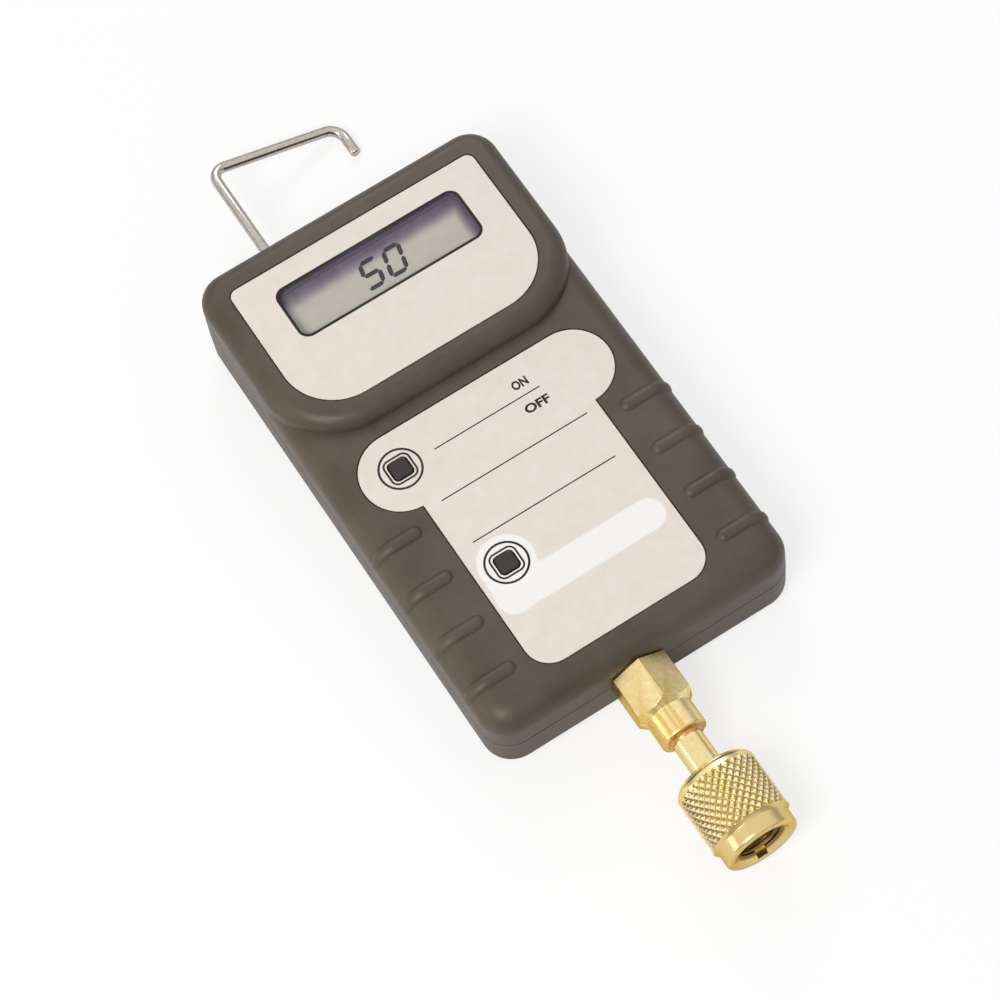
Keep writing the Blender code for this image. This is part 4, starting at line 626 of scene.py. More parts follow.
labelForm = dict(thickness=0.3, edge=0.06, leftLobe=9.45, rightLobe=9.25, keypadSide=21.74, keypadLowRadius=6.0,
                 headLowRadius=13.0, headHighRadius=2.0, viewRadius=2.0, viewOverlap=0.8, paneThickness=1.0,
                 paneEdge=0.08, keySide=4.4, keyRadius=0.9)
headLabelLow, headLabelHigh = nodeBox("head_label")
keypadLow, keypadHigh = nodeBox("keypad_label")
paneLow, paneHigh = nodeBox("display_window")
viewLow, viewHigh = paneLow + labelForm["viewOverlap"], paneHigh - labelForm["viewOverlap"]
keyCentres = {name: nodeMiddle(name + "_switch_stem")[:2] for name in ("upper", "lower")}
leftLobe = (keypadLow[0] + labelForm["leftLobe"], keypadHigh[1] - labelForm["leftLobe"])
rightLobe = (keypadHigh[0] - labelForm["rightLobe"], keypadHigh[1] - labelForm["rightLobe"])


def keypadOutline(grow, steps=16):
    # two round lobes at the top, and a narrower part below with round lower corners
    side, low = labelForm["keypadSide"] + grow, keypadLow[1] - grow
    corner, leftRadius, rightRadius = [labelForm[key] + grow for key in ("keypadLowRadius", "leftLobe", "rightLobe")]
    right = math.degrees(math.asin((side - rightLobe[0]) / rightRadius))
    left = math.degrees(math.asin((side + leftLobe[0]) / leftRadius))
    return np.concatenate([arcPoints((-side + corner, low + corner), corner, 180, 270, steps),
                           arcPoints((side - corner, low + corner), corner, 270, 360, steps),
                           arcPoints(rightLobe, rightRadius, right - 90, 90, 2 * steps),
                           arcPoints(leftLobe, leftRadius, 90, 270 - left, 2 * steps)])


def headLabelOutline(grow):
    return grownOutline(headLabelLow, headLabelHigh, grow, labelForm["headLowRadius"], labelForm["headHighRadius"])


def viewOutline(grow):
    return grownOutline(viewLow, viewHigh, grow, labelForm["viewRadius"])


def keyOutline(x, y, grow):
    half = labelForm["keySide"] / 2
    return grownOutline((x - half, y - half), (x + half, y + half), grow, labelForm["keyRadius"], steps=8)


def screwPlaces(kind):
    return [nodeMiddle(f"{kind}_screw_{index}")[:2] for index in (1, 2, 3, 4)]


# the first two board posts hang from the head, the other two from the lower face
boardPosts = [(x, y, roof) for (x, y), roof in zip(screwPlaces("board"), (headRoof, headRoof, bodyRoof, bodyRoof))]
caseScrews = screwPlaces("case")
axisX, axisZ = nodeMiddle("hex_fitting")[[0, 2]].tolist()
padRadius = nodeBox("fitting_washer")[1][0] - axisX + caseForm["padMargin"]
hookLow, hookHigh = nodeBox("hanging_hook")
hookForm = dict(wire=1.05, openWire=1.25, bend=3.6, x=hookLow[0] + 1.05, z=hookHigh[2] - 1.05,
                barY=hookHigh[1] - 1.25, barLength=34.1, tipLength=8.5, saddleRadius=2.2, saddleLength=2.6, sides=28,
                bendSteps=18)


def archOutline(x, z, radius, foot):
    start = 0 if foot < z else 180
    curve = arcPoints((x, z), radius, start, start + 180, 24)
    return np.concatenate([curve, [(curve[-1][0], foot), (curve[0][0], foot)]])


def fittingPad(foot):
    wall = -halfLength + caseForm["wall"]
    return alongY(archOutline(axisX, axisZ, padRadius, foot), wall - caseForm["gap"], wall + caseForm["padHeight"])


def fittingHole():
    form = caseForm
    return rodY(form["fittingHole"], -halfLength - form["gap"], -halfLength + 2 * form["wall"], axisX, axisZ)


def makeFrontShell():
    form = caseForm
    gap, parting, body, past = form["gap"], form["parting"], form["bodyHeight"], form["past"]
    firstY = -halfLength + ribForm["endDistance"]
    ribs = [gripRib(side, firstY + ribForm["pitch"] * step) for side in (-1, 1) for step in range(ribForm["count"])]
    below = parting - form["lipHeight"]
    onBoard = nodeBox("circuit_board")[1][2] + gap
    bossLow = parting + form["lipHeight"] + gap
    posts = [rodZ(form["postRadius"], onBoard, roof + gap, x, y) for x, y, roof in boardPosts]
    posts += [rodZ(form["bossRadius"], bossLow, (headRoof if y > 0 else bodyRoof) + gap, x, y) for x, y in caseScrews]
    saddleStart = halfLength - form["wall"] - hookForm["saddleLength"]
    saddle = alongY(archOutline(hookForm["x"], hookForm["z"], hookForm["saddleRadius"], parting + gap),
                    saddleStart, halfLength - form["lipInset"] + gap * 2)
    labelFloor = labelForm["thickness"] + gap
    paneFloor = headHeight - labelFloor - labelForm["paneThickness"] - gap
    high = headHeight + past
    holes = [rodZ(form["postHole"], onBoard - gap, onBoard + form["postDepth"], x, y, 16) for x, y, roof in boardPosts]
    holes += [rodZ(form["bossHole"], bossLow - gap, bossLow + form["bossDepth"], x, y, 16) for x, y in caseScrews]
    holes += [rodY(hookForm["wire"] + gap, saddleStart - gap, halfLength + gap, hookForm["x"], hookForm["z"])]
    holes += [fittingHole()] + [slab(keyOutline(x, y, gap), bodyRoof - past, high) for x, y in keyCentres.values()]
    return makePiece(
        "frontShell", rolledShell(caseOutline, parting + gap / 2, body, form["frontRoll"]), ("UNION", headShell()),
        ("UNION", *ribs), ("DIFFERENCE", rolledHollow(below, bodyRoof, form["frontRoll"])),
        ("DIFFERENCE", headHollow()), ("UNION", fittingPad(parting - form["lipHeight"] / 2)),
        ("DIFFERENCE", slab(caseOutline(form["lipInset"] - gap), below, parting + form["lipHeight"] + gap)),
        ("UNION", *posts), ("UNION", saddle),
        ("DIFFERENCE", slab(headLabelOutline(gap), headHeight - labelFloor, high),
         slab(keypadOutline(gap), body - labelFloor, body + past)),
        ("DIFFERENCE", slab(viewOutline(labelForm["viewOverlap"] + gap), paneFloor, high)),
        ("DIFFERENCE", slab(viewOutline(0), headRoof - past, high)), ("DIFFERENCE", *holes))


rearForm = dict(screwMouth=3.25, screwWell=3.0, screwSink=3.0, mouthEdge=(-0.05, 0.25), bayWall=1.1, bayBelow=0.7,
                tongueOffset=6.0, slotHalf=2.3, slotReach=1.9, slotHeights=(0.8, 2.7), padBelow=0.4, scoopHalf=6.0,
                scoopReach=4.0, scoopRadius=3.7, scoopRoot=0.4, scoopSlope=0.5, scoopDepth=1.1)


def makeRearShell():
    form, rear = caseForm, rearForm
    gap, parting, wall = form["gap"], form["parting"], form["wall"]
    above, lipTop = parting + wall, parting + form["lipHeight"]
    doorLow, doorHigh = nodeBox("battery_door")
    left, right = doorLow[0] - gap, doorHigh[0] + gap
    near, far = nodeBox("battery")[0][1] - gap, doorHigh[1] + gap
    side, middle, half = rear["bayWall"], (left + right) / 2, rear["scoopHalf"]
    footTop = rear["screwSink"] + form["bossFootTop"]
    bosses = [turnedZ([(form["bossFoot"], wall - gap), (form["bossFoot"], footTop), (form["bossRadius"], footTop + gap),
                       (form["bossRadius"], lipTop)], x, y, 32) for x, y in caseScrews]
    slots = [boxShape(x - rear["slotHalf"], x + rear["slotHalf"], near - rear["slotReach"], near + gap,
                      *rear["slotHeights"]) for x in (middle - rear["tongueOffset"], middle + rear["tongueOffset"])]

    def notch(inset):
        return roundedOutline(middle - half + inset, middle + half - inset, far - gap,
                              far + rear["scoopReach"] - inset, rear["scoopRoot"], rear["scoopRadius"] - inset)

    mouth, well, hole, (rim, floor) = rear["screwMouth"], rear["screwWell"], form["bossHole"], rear["mouthEdge"]
    holes = [turnedZ([(mouth, -wall), (mouth, rim), (well, floor), (well, rear["screwSink"]),
                      (hole, rear["screwSink"]), (hole, above)], x, y, 40) for x, y in caseScrews]
    saddle = hookForm["saddleRadius"] + gap
    return makePiece(
        "rearShell", rolledShell(caseOutline, parting - gap / 2, 0, form["backRoll"]),
        ("UNION", slab(caseOutline(form["lipInset"]), parting - wall, lipTop)),
        ("DIFFERENCE", rolledHollow(above, wall, form["backRoll"])), ("UNION", fittingPad(parting + rear["padBelow"])),
        ("UNION", *bosses),
        ("UNION", boxShape(left - side, right + side, near - side, far + side, wall - gap, parting - rear["bayBelow"])),
        ("DIFFERENCE", boxShape(left, right, near, far, -wall, above + wall)), ("DIFFERENCE", *slots),
        ("DIFFERENCE", stacked(notch, [(0, -wall), (0, 0), (rear["scoopSlope"], rear["scoopDepth"])])),
        ("DIFFERENCE", *holes), ("DIFFERENCE", fittingHole()),
        ("DIFFERENCE", boxShape(hookForm["x"] - saddle, hookForm["x"] + saddle, halfLength - 2 * wall,
                                halfLength - form["lipInset"] + gap, parting - gap, above)))


def viewDistance(tree, grow=0.0):  # from the outline of the display opening
    (x, y), half = (viewLow + viewHigh)[:2] / 2, (viewHigh - viewLow)[:2] / 2 + grow
    return boxDistance(tree, float(x), float(y), *half.tolist(), labelForm["viewRadius"] + grow)


def paintedOpeningShade(tree, base):
    # painted shade: the wall of the display opening, below the label, is painted violet grey to stand in for the shadow
    # and reflection on the cell beside it
    return mixColour(tree, spread(tree, viewDistance(tree), 1.0, 1.1, 1.0, 0.0), base, (112, 98, 124))


# the front shell's plastic, with painted violet shade on the wall of the display opening
mouldedMaterial("frontPlastic", **caseFinish, draw=paintedOpeningShade)
dress(makeFrontShell(), "frontPlastic", "root", "case_plastic", "front_case")
print("front shell")
dress(makeRearShell(), "casePlastic", "root", "case_plastic", "rear_case")
print("rear shell")


# Battery door and case screws, on the back

doorForm = dict(thickness=1.7, edge=0.35, corners=(0.5, 0.3), grips=5, gripPitch=1.6, gripWidth=0.7, gripDepth=0.5,
                gripLength=14.0, gripFromEnd=3.3, tongueHalf=2.0, tongueRoot=1.3, tongueLow=1.1, tongueThickness=0.6,
                arrowHalf=2.6, arrowLength=3.1, arrowGap=2.0, arrowDepth=0.3)


def makeDoor():
    form, gap = doorForm, caseForm["gap"]
    low, high = nodeBox("battery_door")
    plateLow, edge, middle = nodeBox("battery")[0][1] + gap, form["edge"], (low[0] + high[0]) / 2
    outer = roundedOutline(low[0], high[0], plateLow, high[1], form["corners"][0], steps=6)
    inner = roundedOutline(low[0] + edge, high[0] - edge, plateLow + edge, high[1] - edge, form["corners"][1], steps=6)
    plate = loft([atHeight(inner, 0.0), atHeight(outer, edge), atHeight(outer, form["thickness"])])
    tongues = [boxShape(x - form["tongueHalf"], x + form["tongueHalf"], low[1], plateLow + form["tongueRoot"],
                        form["tongueLow"], form["tongueLow"] + form["tongueThickness"])
               for x in (middle - rearForm["tongueOffset"], middle + rearForm["tongueOffset"])]
    top, half, width = high[1] - form["gripFromEnd"], form["gripLength"] / 2, form["gripWidth"]
    cuts = [slab(roundedOutline(middle - half, middle + half, y - width, y, width / 2.1, steps=6), -gap,
                 form["gripDepth"]) for y in [top - form["gripPitch"] * step for step in range(form["grips"])]]
    foot, half = top - form["gripPitch"] * form["grips"] - form["arrowGap"], form["arrowHalf"]
    arrow = np.array([(middle - half, foot), (middle, foot - form["arrowLength"]), (middle + half, foot)])
    return makePiece("batteryDoorPlate", plate, ("UNION", *tongues),
                     ("DIFFERENCE", *cuts, slab(arrow, -gap, form["arrowDepth"])))


dress(makeDoor(), "casePlastic", "battery_door", "case_plastic", "battery_door")

screwForm = dict(radius=2.7, face=1.6, roll=(0.8, 0.55), rollStart=0.12, faceDrop=0.04, headHeight=2.0, shank=1.25,
                 point=0.6, crossReach=1.5, crossHalf=0.36, crossDepth=1.1, crossTaper=0.55, turn=35.0)


def spun(outline, degrees):
    turn = math.radians(degrees)
    return outline @ np.array([(math.cos(turn), math.sin(turn)), (-math.sin(turn), math.cos(turn))])


def makeCaseScrew(index):
    form = screwForm
    low, high = [corner[2] for corner in nodeBox(f"case_screw_{index}")]
    x, y = caseScrews[index - 1]
    (across, down), shank, headTop = form["roll"], form["shank"], low + form["headHeight"]
    profile = [(onAxis, low), (form["face"], low + form["faceDrop"])]
    profile += [(form["radius"] - across + across * np.sin(turn), low + form["rollStart"] + down * (1 - np.cos(turn)))
                for turn in quarterTurn(7)]
    profile += [(form["radius"], headTop), (shank, headTop), (shank, high - form["point"]), (shank / 2, high),
                (onAxis, high)]
    reach, half = form["crossReach"], form["crossHalf"]
    arm = np.array([(-reach, -half), (-half, -half), (-half, -reach)])
    cross = np.concatenate([spun(arm, turn) for turn in (0, 90, 180, 270)])
    tool = loft([atHeight(spun(cross * size, form["turn"] * index) + (x, y), low + depth)
                 for size, depth in ((1.06, -0.3), (1.0, 0.1), (form["crossTaper"], form["crossDepth"]))])
    return makePiece(f"caseScrew{index}", turnedZ(profile, x, y), ("DIFFERENCE", tool), sharpAngle=38)


for index in (1, 2, 3, 4):
    dress(makeCaseScrew(index), "platedSteel", "root", "plated_steel", f"case_screw_{index}")
print("door and case screws")


# Overlays, window and display. A box of the print is x, y, half width, half height and corner radius.

printForm = dict(black=(18, 15, 13), white=(240, 238, 235), frameLine=0.36, frameGrow=0.33, ring=4.71, ringLine=0.26,
                 square=3.05, squareRadius=1.5, squareLine=0.23, rule=0.13, ruleBox=(0.02, 0.01), disc=6.4,
                 discLift=0.1, blend=1.6,
                 rules=[(0.37, 0.32, 13.2), (0.30, -10.85, 18.2), (0.20, -22.80, 17.75)],
                 band=(-0.35, -38.2, 20.35, 3.8, 3.7), heel=(-17.0, -36.0, 3.6, 6.0, 3.6))


def lineMask(tree, distance, halfLine, soft=0.045):
    # 1 on a line of that half width along an outline, with a slightly soft edge
    return spread(tree, calc(tree, "SUBTRACT", calc(tree, "ABSOLUTE", distance), halfLine), -soft, soft, 1.0, 0.0)


def drawHead(tree, base):
    mask = lineMask(tree, viewDistance(tree, printForm["frameGrow"]), printForm["frameLine"])
    return mixColour(tree, mask, base, printForm["black"])


def drawKeypad(tree, base):
    # a white band that runs into a disc round the lower key, then rings, squares and rules in black
    form = printForm
    keys = [tuple(place.tolist()) for place in keyCentres.values()]
    ring = [form["ring"]] * 3 + [form["ringLine"]]
    square = [form["square"]] * 2 + [form["squareRadius"], form["squareLine"]]
    disc = boxDistance(tree, keys[1][0], keys[1][1] + form["discLift"], *[form["disc"]] * 3)
    around = calc(tree, "MINIMUM", disc, boxDistance(tree, *form["heel"]))
    patch = calc(tree, "SMOOTH_MIN", around, boxDistance(tree, *form["band"]), form["blend"])
    base = mixColour(tree, spread(tree, patch, -0.3, 0.3, 1.0, 0.0, smooth=True), base, form["white"])
    marks = [(*place, *mark) for place in keys for mark in (ring, square)]
    marks += [(*rule, *form["ruleBox"], form["rule"]) for rule in form["rules"]]
    ink = 0.0
    for *box, line in marks:
        ink = larger(tree, ink, lineMask(tree, boxDistance(tree, *box), line))
    return mixColour(tree, ink, base, form["black"])


def makeHeadLabel():
    # ring of film round the display opening: outer outline up, over to the opening, and down again
    low, high, edge = headLabelLow[2], headLabelHigh[2], labelForm["edge"]
    rings = [(headLabelOutline(0), low), (headLabelOutline(0), high - edge), (headLabelOutline(-edge), high),
             (viewOutline(edge), high), (viewOutline(0), high - edge), (viewOutline(0), low)]
    return makePiece("headOverlay", closedGrid(np.stack([atHeight(outline, z) for outline, z in rings])))


def makeKeypadLabel():
    low, high, edge = keypadLow[2], keypadHigh[2], labelForm["edge"]
    openings = [slab(keyOutline(x, y, caseForm["gap"]), low - 1, high + 1) for x, y in keyCentres.values()]
    return makePiece("keypadOverlay", stacked(keypadOutline, [(0, low), (0, high - edge), (-edge, high)]),
                     ("DIFFERENCE", *openings))


labelMaterial("headLabelPrint", drawHead)
labelMaterial("keypadPrint", drawKeypad)
dress(makeHeadLabel(), "headLabelPrint", "root", "label_film", "head_label")
dress(makeKeypadLabel(), "keypadPrint", "root", "label_film", "keypad_label")

wordForm = dict(size=2.9, heavier=0.10, thickness=0.01, lift=0.012,
                words=[("printedOn", "ON", 8.6, 12.3, 2.3), ("printedOff", "OFF", 8.0, 14.0, -4.0)])


def makeWord(name, word, xLow, xHigh, y):
    # plain sans letters as a thin film of ink on the label, stretched from xLow to xHigh
    curve = bpy.data.curves.new(name, "FONT")
    curve.body, curve.size, curve.resolution_u = word, wordForm["size"], 4
    curve.extrude, curve.offset = wordForm["thickness"], wordForm["heavier"]
    holder = addObject(name + ".text", curve)
    bpy.context.view_layer.update()
    mesh = bpy.data.meshes.new_from_object(holder.evaluated_get(bpy.context.evaluated_depsgraph_get()))
    bpy.data.objects.remove(holder)
    points = np.array([tuple(vertex.co) for vertex in mesh.vertices])
    low, high = points[:, 0].min(), points[:, 0].max()
    points[:, 0] = xLow + (points[:, 0] - low) * (xHigh - xLow) / (high - low)
    points += (0, y, keypadHigh[2] + wordForm["lift"])
    mesh.vertices.foreach_set("co", points.ravel() / 1000)
    mesh.update()
    return addObject(name, mesh)


for word in wordForm["words"]:
    dress(makeWord(*word), "printInk", "root", "label_film")


def paneMaterial():
    # clear sheet: it reflects at a glance by Fresnel, and otherwise lets the display show
    tree, shader = startMaterial("windowClear", Base_Color=(214, 218, 220), Roughness=0.06, IOR=1.49)
    fresnel = addNode(tree, "ShaderNodeFresnel", {"IOR": 1.35}).outputs[0]
    surface = useGroup(tree, mouldGrain, Grain_Scale=500.0, Mottle_Scale=120.0)
    haze = spread(tree, surface["Mottle"], 0.3, 0.8, 0.01, 0.03)
    feed(tree, calc(tree, "ADD", times(tree, fresnel, 0.6), haze, clamp=True), shader.inputs["Alpha"])
    addBump(tree, shader, surface["Height"], 0.01, 0.00005)


cellForm = dict(topShade=(4.9, 1.9), rightShade=(3.0, 0.6), violet=0.95, sideStep=0.1, endStep=0.9, corner=0.15)


def displayMaterial():
    # grey-green cell, with painted violet shadow towards its top and right edges where the opening's walls shade it
    tree, shader = startMaterial("displayGrey", Roughness=0.22)
    x, y, far = *list(objectAxes(tree))[:2], viewHigh.tolist()
    top = spread(tree, y, *[(far[1] - back) / 1000 for back in cellForm["topShade"]], smooth=True)
    right = spread(tree, x, *[(far[0] - back) / 1000 for back in cellForm["rightShade"]], smooth=True)
    surface = useGroup(tree, mouldGrain, Grain_Scale=2200.0, Mottle_Scale=300.0)
    base = mixColour(tree, spread(tree, surface["Mottle"]), (194, 188, 174), (202, 197, 184))
    violet = mixColour(tree, spread(tree, surface["Mottle"], 0.35, 0.65), (108, 93, 118), (126, 110, 134))
    # painted shadow: violet grey towards the top and right edges
    shade = times(tree, larger(tree, top, right), cellForm["violet"])
    feed(tree, mixColour(tree, shade, base, violet), shader.inputs["Base Color"])
    addBump(tree, shader, surface["Height"], 0.01, 0.00005, 0.0002)


def makePane():
    low, high, edge, full = paneLow[2], paneHigh[2], labelForm["paneEdge"], labelForm["viewOverlap"]
    levels = [(full - edge, low), (full, low + edge), (full, high - edge), (full - edge, high)]
    return makePiece("clearPane", stacked(viewOutline, levels))


def makeCell():
    # two glass plates of the display, the lower one a little longer for its contacts
    low, high = nodeBox("display_glass")
    side, end, corner = [cellForm[key] for key in ("sideStep", "endStep", "corner")]
    middle = (low[2] + high[2]) / 2
    upper = roundedOutline(low[0] + side, high[0] - side, low[1] + end, high[1] - end, corner, steps=3)
    lower = roundedOutline(low[0], high[0], low[1], high[1], corner, steps=3)
    return makePiece("displayCell", loft([atHeight(lower, low[2]), atHeight(lower, middle), atHeight(upper, middle),
                                          atHeight(upper, high[2])]))


paneMaterial()
displayMaterial()
dress(makePane(), "windowClear", "root", "window_clear", "display_window")
dress(makeCell(), "displayGrey", "root", "display_grey", "display_glass")

digitForm = dict(height=7.6, width=4.8, stroke=1.05, slant=0.21, gap=0.07, lift=0.004, thickness=0.02,
                 places=[("digitFive", -5.2, 40.0, "acdfg"), ("digitZero", 0.75, 40.0, "abcdef")])


def makeDigit(name, x, y, lit):
    # seven bars with pointed ends on a slanted box; a bar's ends are set back by the gap
    form = digitForm
    half = form["stroke"] / 2
    low, left, right, middle, high = half, half, form["width"] - half, form["height"] / 2, form["height"] - half
    bars = {"a": (left, high, right, high), "b": (right, middle, right, high), "c": (right, low, right, middle),
            "d": (left, low, right, low), "e": (left, low, left, middle), "f": (left, middle, left, high),
            "g": (left, middle, right, middle)}
    bottom = nodeBox("display_glass")[1][2] + form["lift"]
    shapes = []
    for key in lit:
        start, end = np.array(bars[key][:2]), np.array(bars[key][2:])
        along = (end - start) / np.linalg.norm(end - start)
        across = np.array([-along[1], along[0]]) * half
        a, b, back = start + along * form["gap"], end - along * form["gap"], along * half
        outline = np.array([a, a + back - across, b - back - across, b, b - back + across, a + back + across])
        outline[:, 0] += outline[:, 1] * form["slant"]
        shapes.append(slab(outline + (x, y), bottom, bottom + form["thickness"]))
    return putMesh(name, together(shapes))


for place in digitForm["places"]:
    dress(makeDigit(*place), "segmentDark", "root", "display_grey")
print("overlays and display")


# Push buttons

keyForm = dict(round=0.45, dish=0.06, steps=5, flangeHeight=0.9, flangeRadius=4.0, stemRadius=1.5, overlap=0.7)


def makeKey(name):
    # square cap with a rolled top edge and a slightly dished top, over its round flange
    form, (x, y) = keyForm, keyCentres[name]
    low, top = [corner[2] for corner in nodeBox(f"{name}_button")]
    capLow, roll = low + form["flangeHeight"], form["round"]
    rings = [atHeight(keyOutline(x, y, 0), capLow)]
    rings += [atHeight(keyOutline(x, y, -roll * (1 - np.cos(turn))), top - roll * (1 - np.sin(turn)))
              for turn in quarterTurn(form["steps"])]
    rings += [atHeight((keyOutline(x, y, -roll) - (x, y)) * share + (x, y), top - form["dish"] * (1 - share ** 2))
              for share in (0.75, 0.5, 0.25)]
    stem, wide = form["stemRadius"], form["flangeRadius"]
    flange = turnedZ([(stem, low), (stem, capLow - 0.03), (wide, capLow - 0.03), (wide, capLow + form["overlap"])],
                     x, y, 40)
    return makePiece(name + "Key", loft(rings), ("UNION", flange), sharpAngle=40)


for name in ("upper", "lower"):
    dress(makeKey(name), "keyPlastic", f"{name}_key", "case_plastic", f"{name}_button")
print("buttons")


# Brass fitting, tube and braze

fittingForm = dict(flats=12.7, hexStart=-0.3, hexLength=9.4, chamfer=1.9, shank=5.55, shankLength=18.75,
                   shoulder=5.35, shoulderLength=6.3, tubeHole=3.8, bore=3.5, tubeBore=2.4, tubeStart=4.3,
                   chamberPastWall=7.2, edge=0.22, lap=0.25, columns=144)


def makeFitting():
    # hexagonal prism cut by a cone at its far end, with a shank behind, a shoulder in front, and a bore; each corner
    # of the hexagon is an arc of its own about a point (flat - edge) / cos 30 from the axis
    form = fittingForm
    start = -halfLength + form["hexStart"]
    shoulderStart = start - form["hexLength"] - form["chamfer"]
    shoulderEnd = shoulderStart - form["shoulderLength"]
    shankEnd = -halfLength + form["shankLength"]
    corner, edge, rim = form["flats"] / math.sqrt(3), form["edge"], form["shoulder"]
    middle = (form["flats"] / 2 - edge) / math.cos(math.radians(30))
    hexagon = np.concatenate([arcPoints((axisX + middle * math.cos(math.radians(turn)),
                                         axisZ + middle * math.sin(math.radians(turn))), edge, turn - 30, turn + 30, 4)
                              for turn in range(30, 390, 60)])
    slope = (corner - rim) / form["chamfer"]
    coneTop = shoulderStart + form["chamfer"] + 1
    tip = (rim - 0.15, shoulderStart - 0.15 / slope)
    cone = [(onAxis, start + 1), (corner + slope, start + 1), (corner + slope, coneTop), tip, (onAxis, tip[1])]
    shank = softProfile([(onAxis, shankEnd), (form["shank"], shankEnd), (form["shank"], start - 1),
                         (onAxis, start - 1)], {1: 0.3})
    lap = shoulderStart + form["lap"]
    shoulder = softProfile([(onAxis, lap), (rim, lap), (rim, shoulderEnd), (onAxis, shoulderEnd)], {1: 0.2, 2: 0.7}, 6)
    tubeStart, chamber, outside = shoulderEnd + form["tubeStart"], start - form["chamberPastWall"], shoulderEnd - 1
    bore = [(onAxis, shankEnd + 1), (form["bore"], shankEnd + 1), (form["bore"], chamber), (form["tubeBore"], chamber),
            (form["tubeBore"], tubeStart), (form["tubeHole"], tubeStart), (form["tubeHole"], outside),
            (onAxis, outside)]
    turned = [turnedY(profile, axisX, axisZ, form["columns"]) for profile in (cone, shank, shoulder)]
    return makePiece("brassFitting", alongY(hexagon, shoulderStart - 0.2, start), ("INTERSECT", turned[0]),
                     ("UNION", turned[1]), ("UNION", turned[2]), ("DIFFERENCE", turnedY(bore, axisX, axisZ)),
                     sharpAngle=24)


tubeForm = dict(radius=3.5, bore=2.4, flare=4.6, lip=0.65, columns=96)


def makeTube():
    form = tubeForm
    edge, end = [corner[1] for corner in nodeBox("inlet_tube")]
    lip, wall = edge + form["lip"], form["radius"] - form["bore"]
    mouth = form["flare"] - wall
    profile = [(form["bore"], end), (form["radius"], end), (form["radius"], lip + form["flare"] - form["radius"]),
               (form["flare"], lip), (form["flare"], edge), (mouth, edge), (form["bore"], edge + mouth - form["bore"])]
    shape = turnedY(softProfile(profile, {1: 0.3, 2: 0.5, 3: 0.3, 4: 0.2}), axisX, axisZ, form["columns"], True)
    return makePiece("flaredTube", shape, sharpAngle=30)


brazeForm = dict(foot=4.3, end=3.66, hole=3.52, length=0.8, overlap=0.28, footWander=0.07, lengthWander=0.12,
                 columns=96)


def makeBraze():
    # thin concave fillet whose foot wanders round the tube: radius and length vary with sums of sines
    form = brazeForm
    angle = np.arange(form["columns"]) / form["columns"] * 2 * np.pi
    wander = 0.5 * np.sin(3 * angle + 0.7) + 0.3 * np.sin(7 * angle + 2.1) + 0.2 * np.sin(13 * angle)
    start, hole = nodeBox("braze_ring")[1][1] + form["overlap"], 0 * angle + form["hole"]
    length = form["length"] + form["lengthWander"] * wander
    t = np.linspace(0, 1, 9)[:, None]
    radius = form["foot"] - (form["foot"] - form["end"]) * t ** 0.5
    radius = radius + form["footWander"] * wander * np.cos(t * np.pi / 2)
    radius, along = np.vstack([hole, radius, hole]), np.vstack([start + 0 * angle, start - length * t, start - length])
    return makePiece("brazeFillet", closedGrid(turnedGrid(radius, along, axisX, axisZ, form["columns"])), sharpAngle=40)


dress(makeFitting(), "turnedBrass", "root", "brass", "hex_fitting")
dress(makeTube(), "drawnBrass", "root", "brass", "inlet_tube")
dress(makeBraze(), "brazeCopper", "root", "braze_copper", "braze_ring")
print("fitting, tube and braze")


# Knurled coupling nut and what is in it

nutForm = dict(hole=3.8, rearRim=8.1, shoulder=2.2, radius=9.3, knurlLength=12.5, knurlDepth=0.58, diamonds=30,
               knurlPitch=2.0, knurlFade=0.25, grooveShare=0.4, collar=8.55, collarStep=0.8, collarEdge=0.9,
               mouth=6.9, bore=4.95, mouthChamfer=1.4, rearWall=3.2, threadPitch=1.27, threadDepth=0.62,
               threadFade=0.9, columns=480, rowsPerDiamond=12, threadRows=10, notchWidth=2.4, notchDepth=2.0,
               collarTone=0.6, grooveShadeTone=0.82, boreShadeTone=0.85)


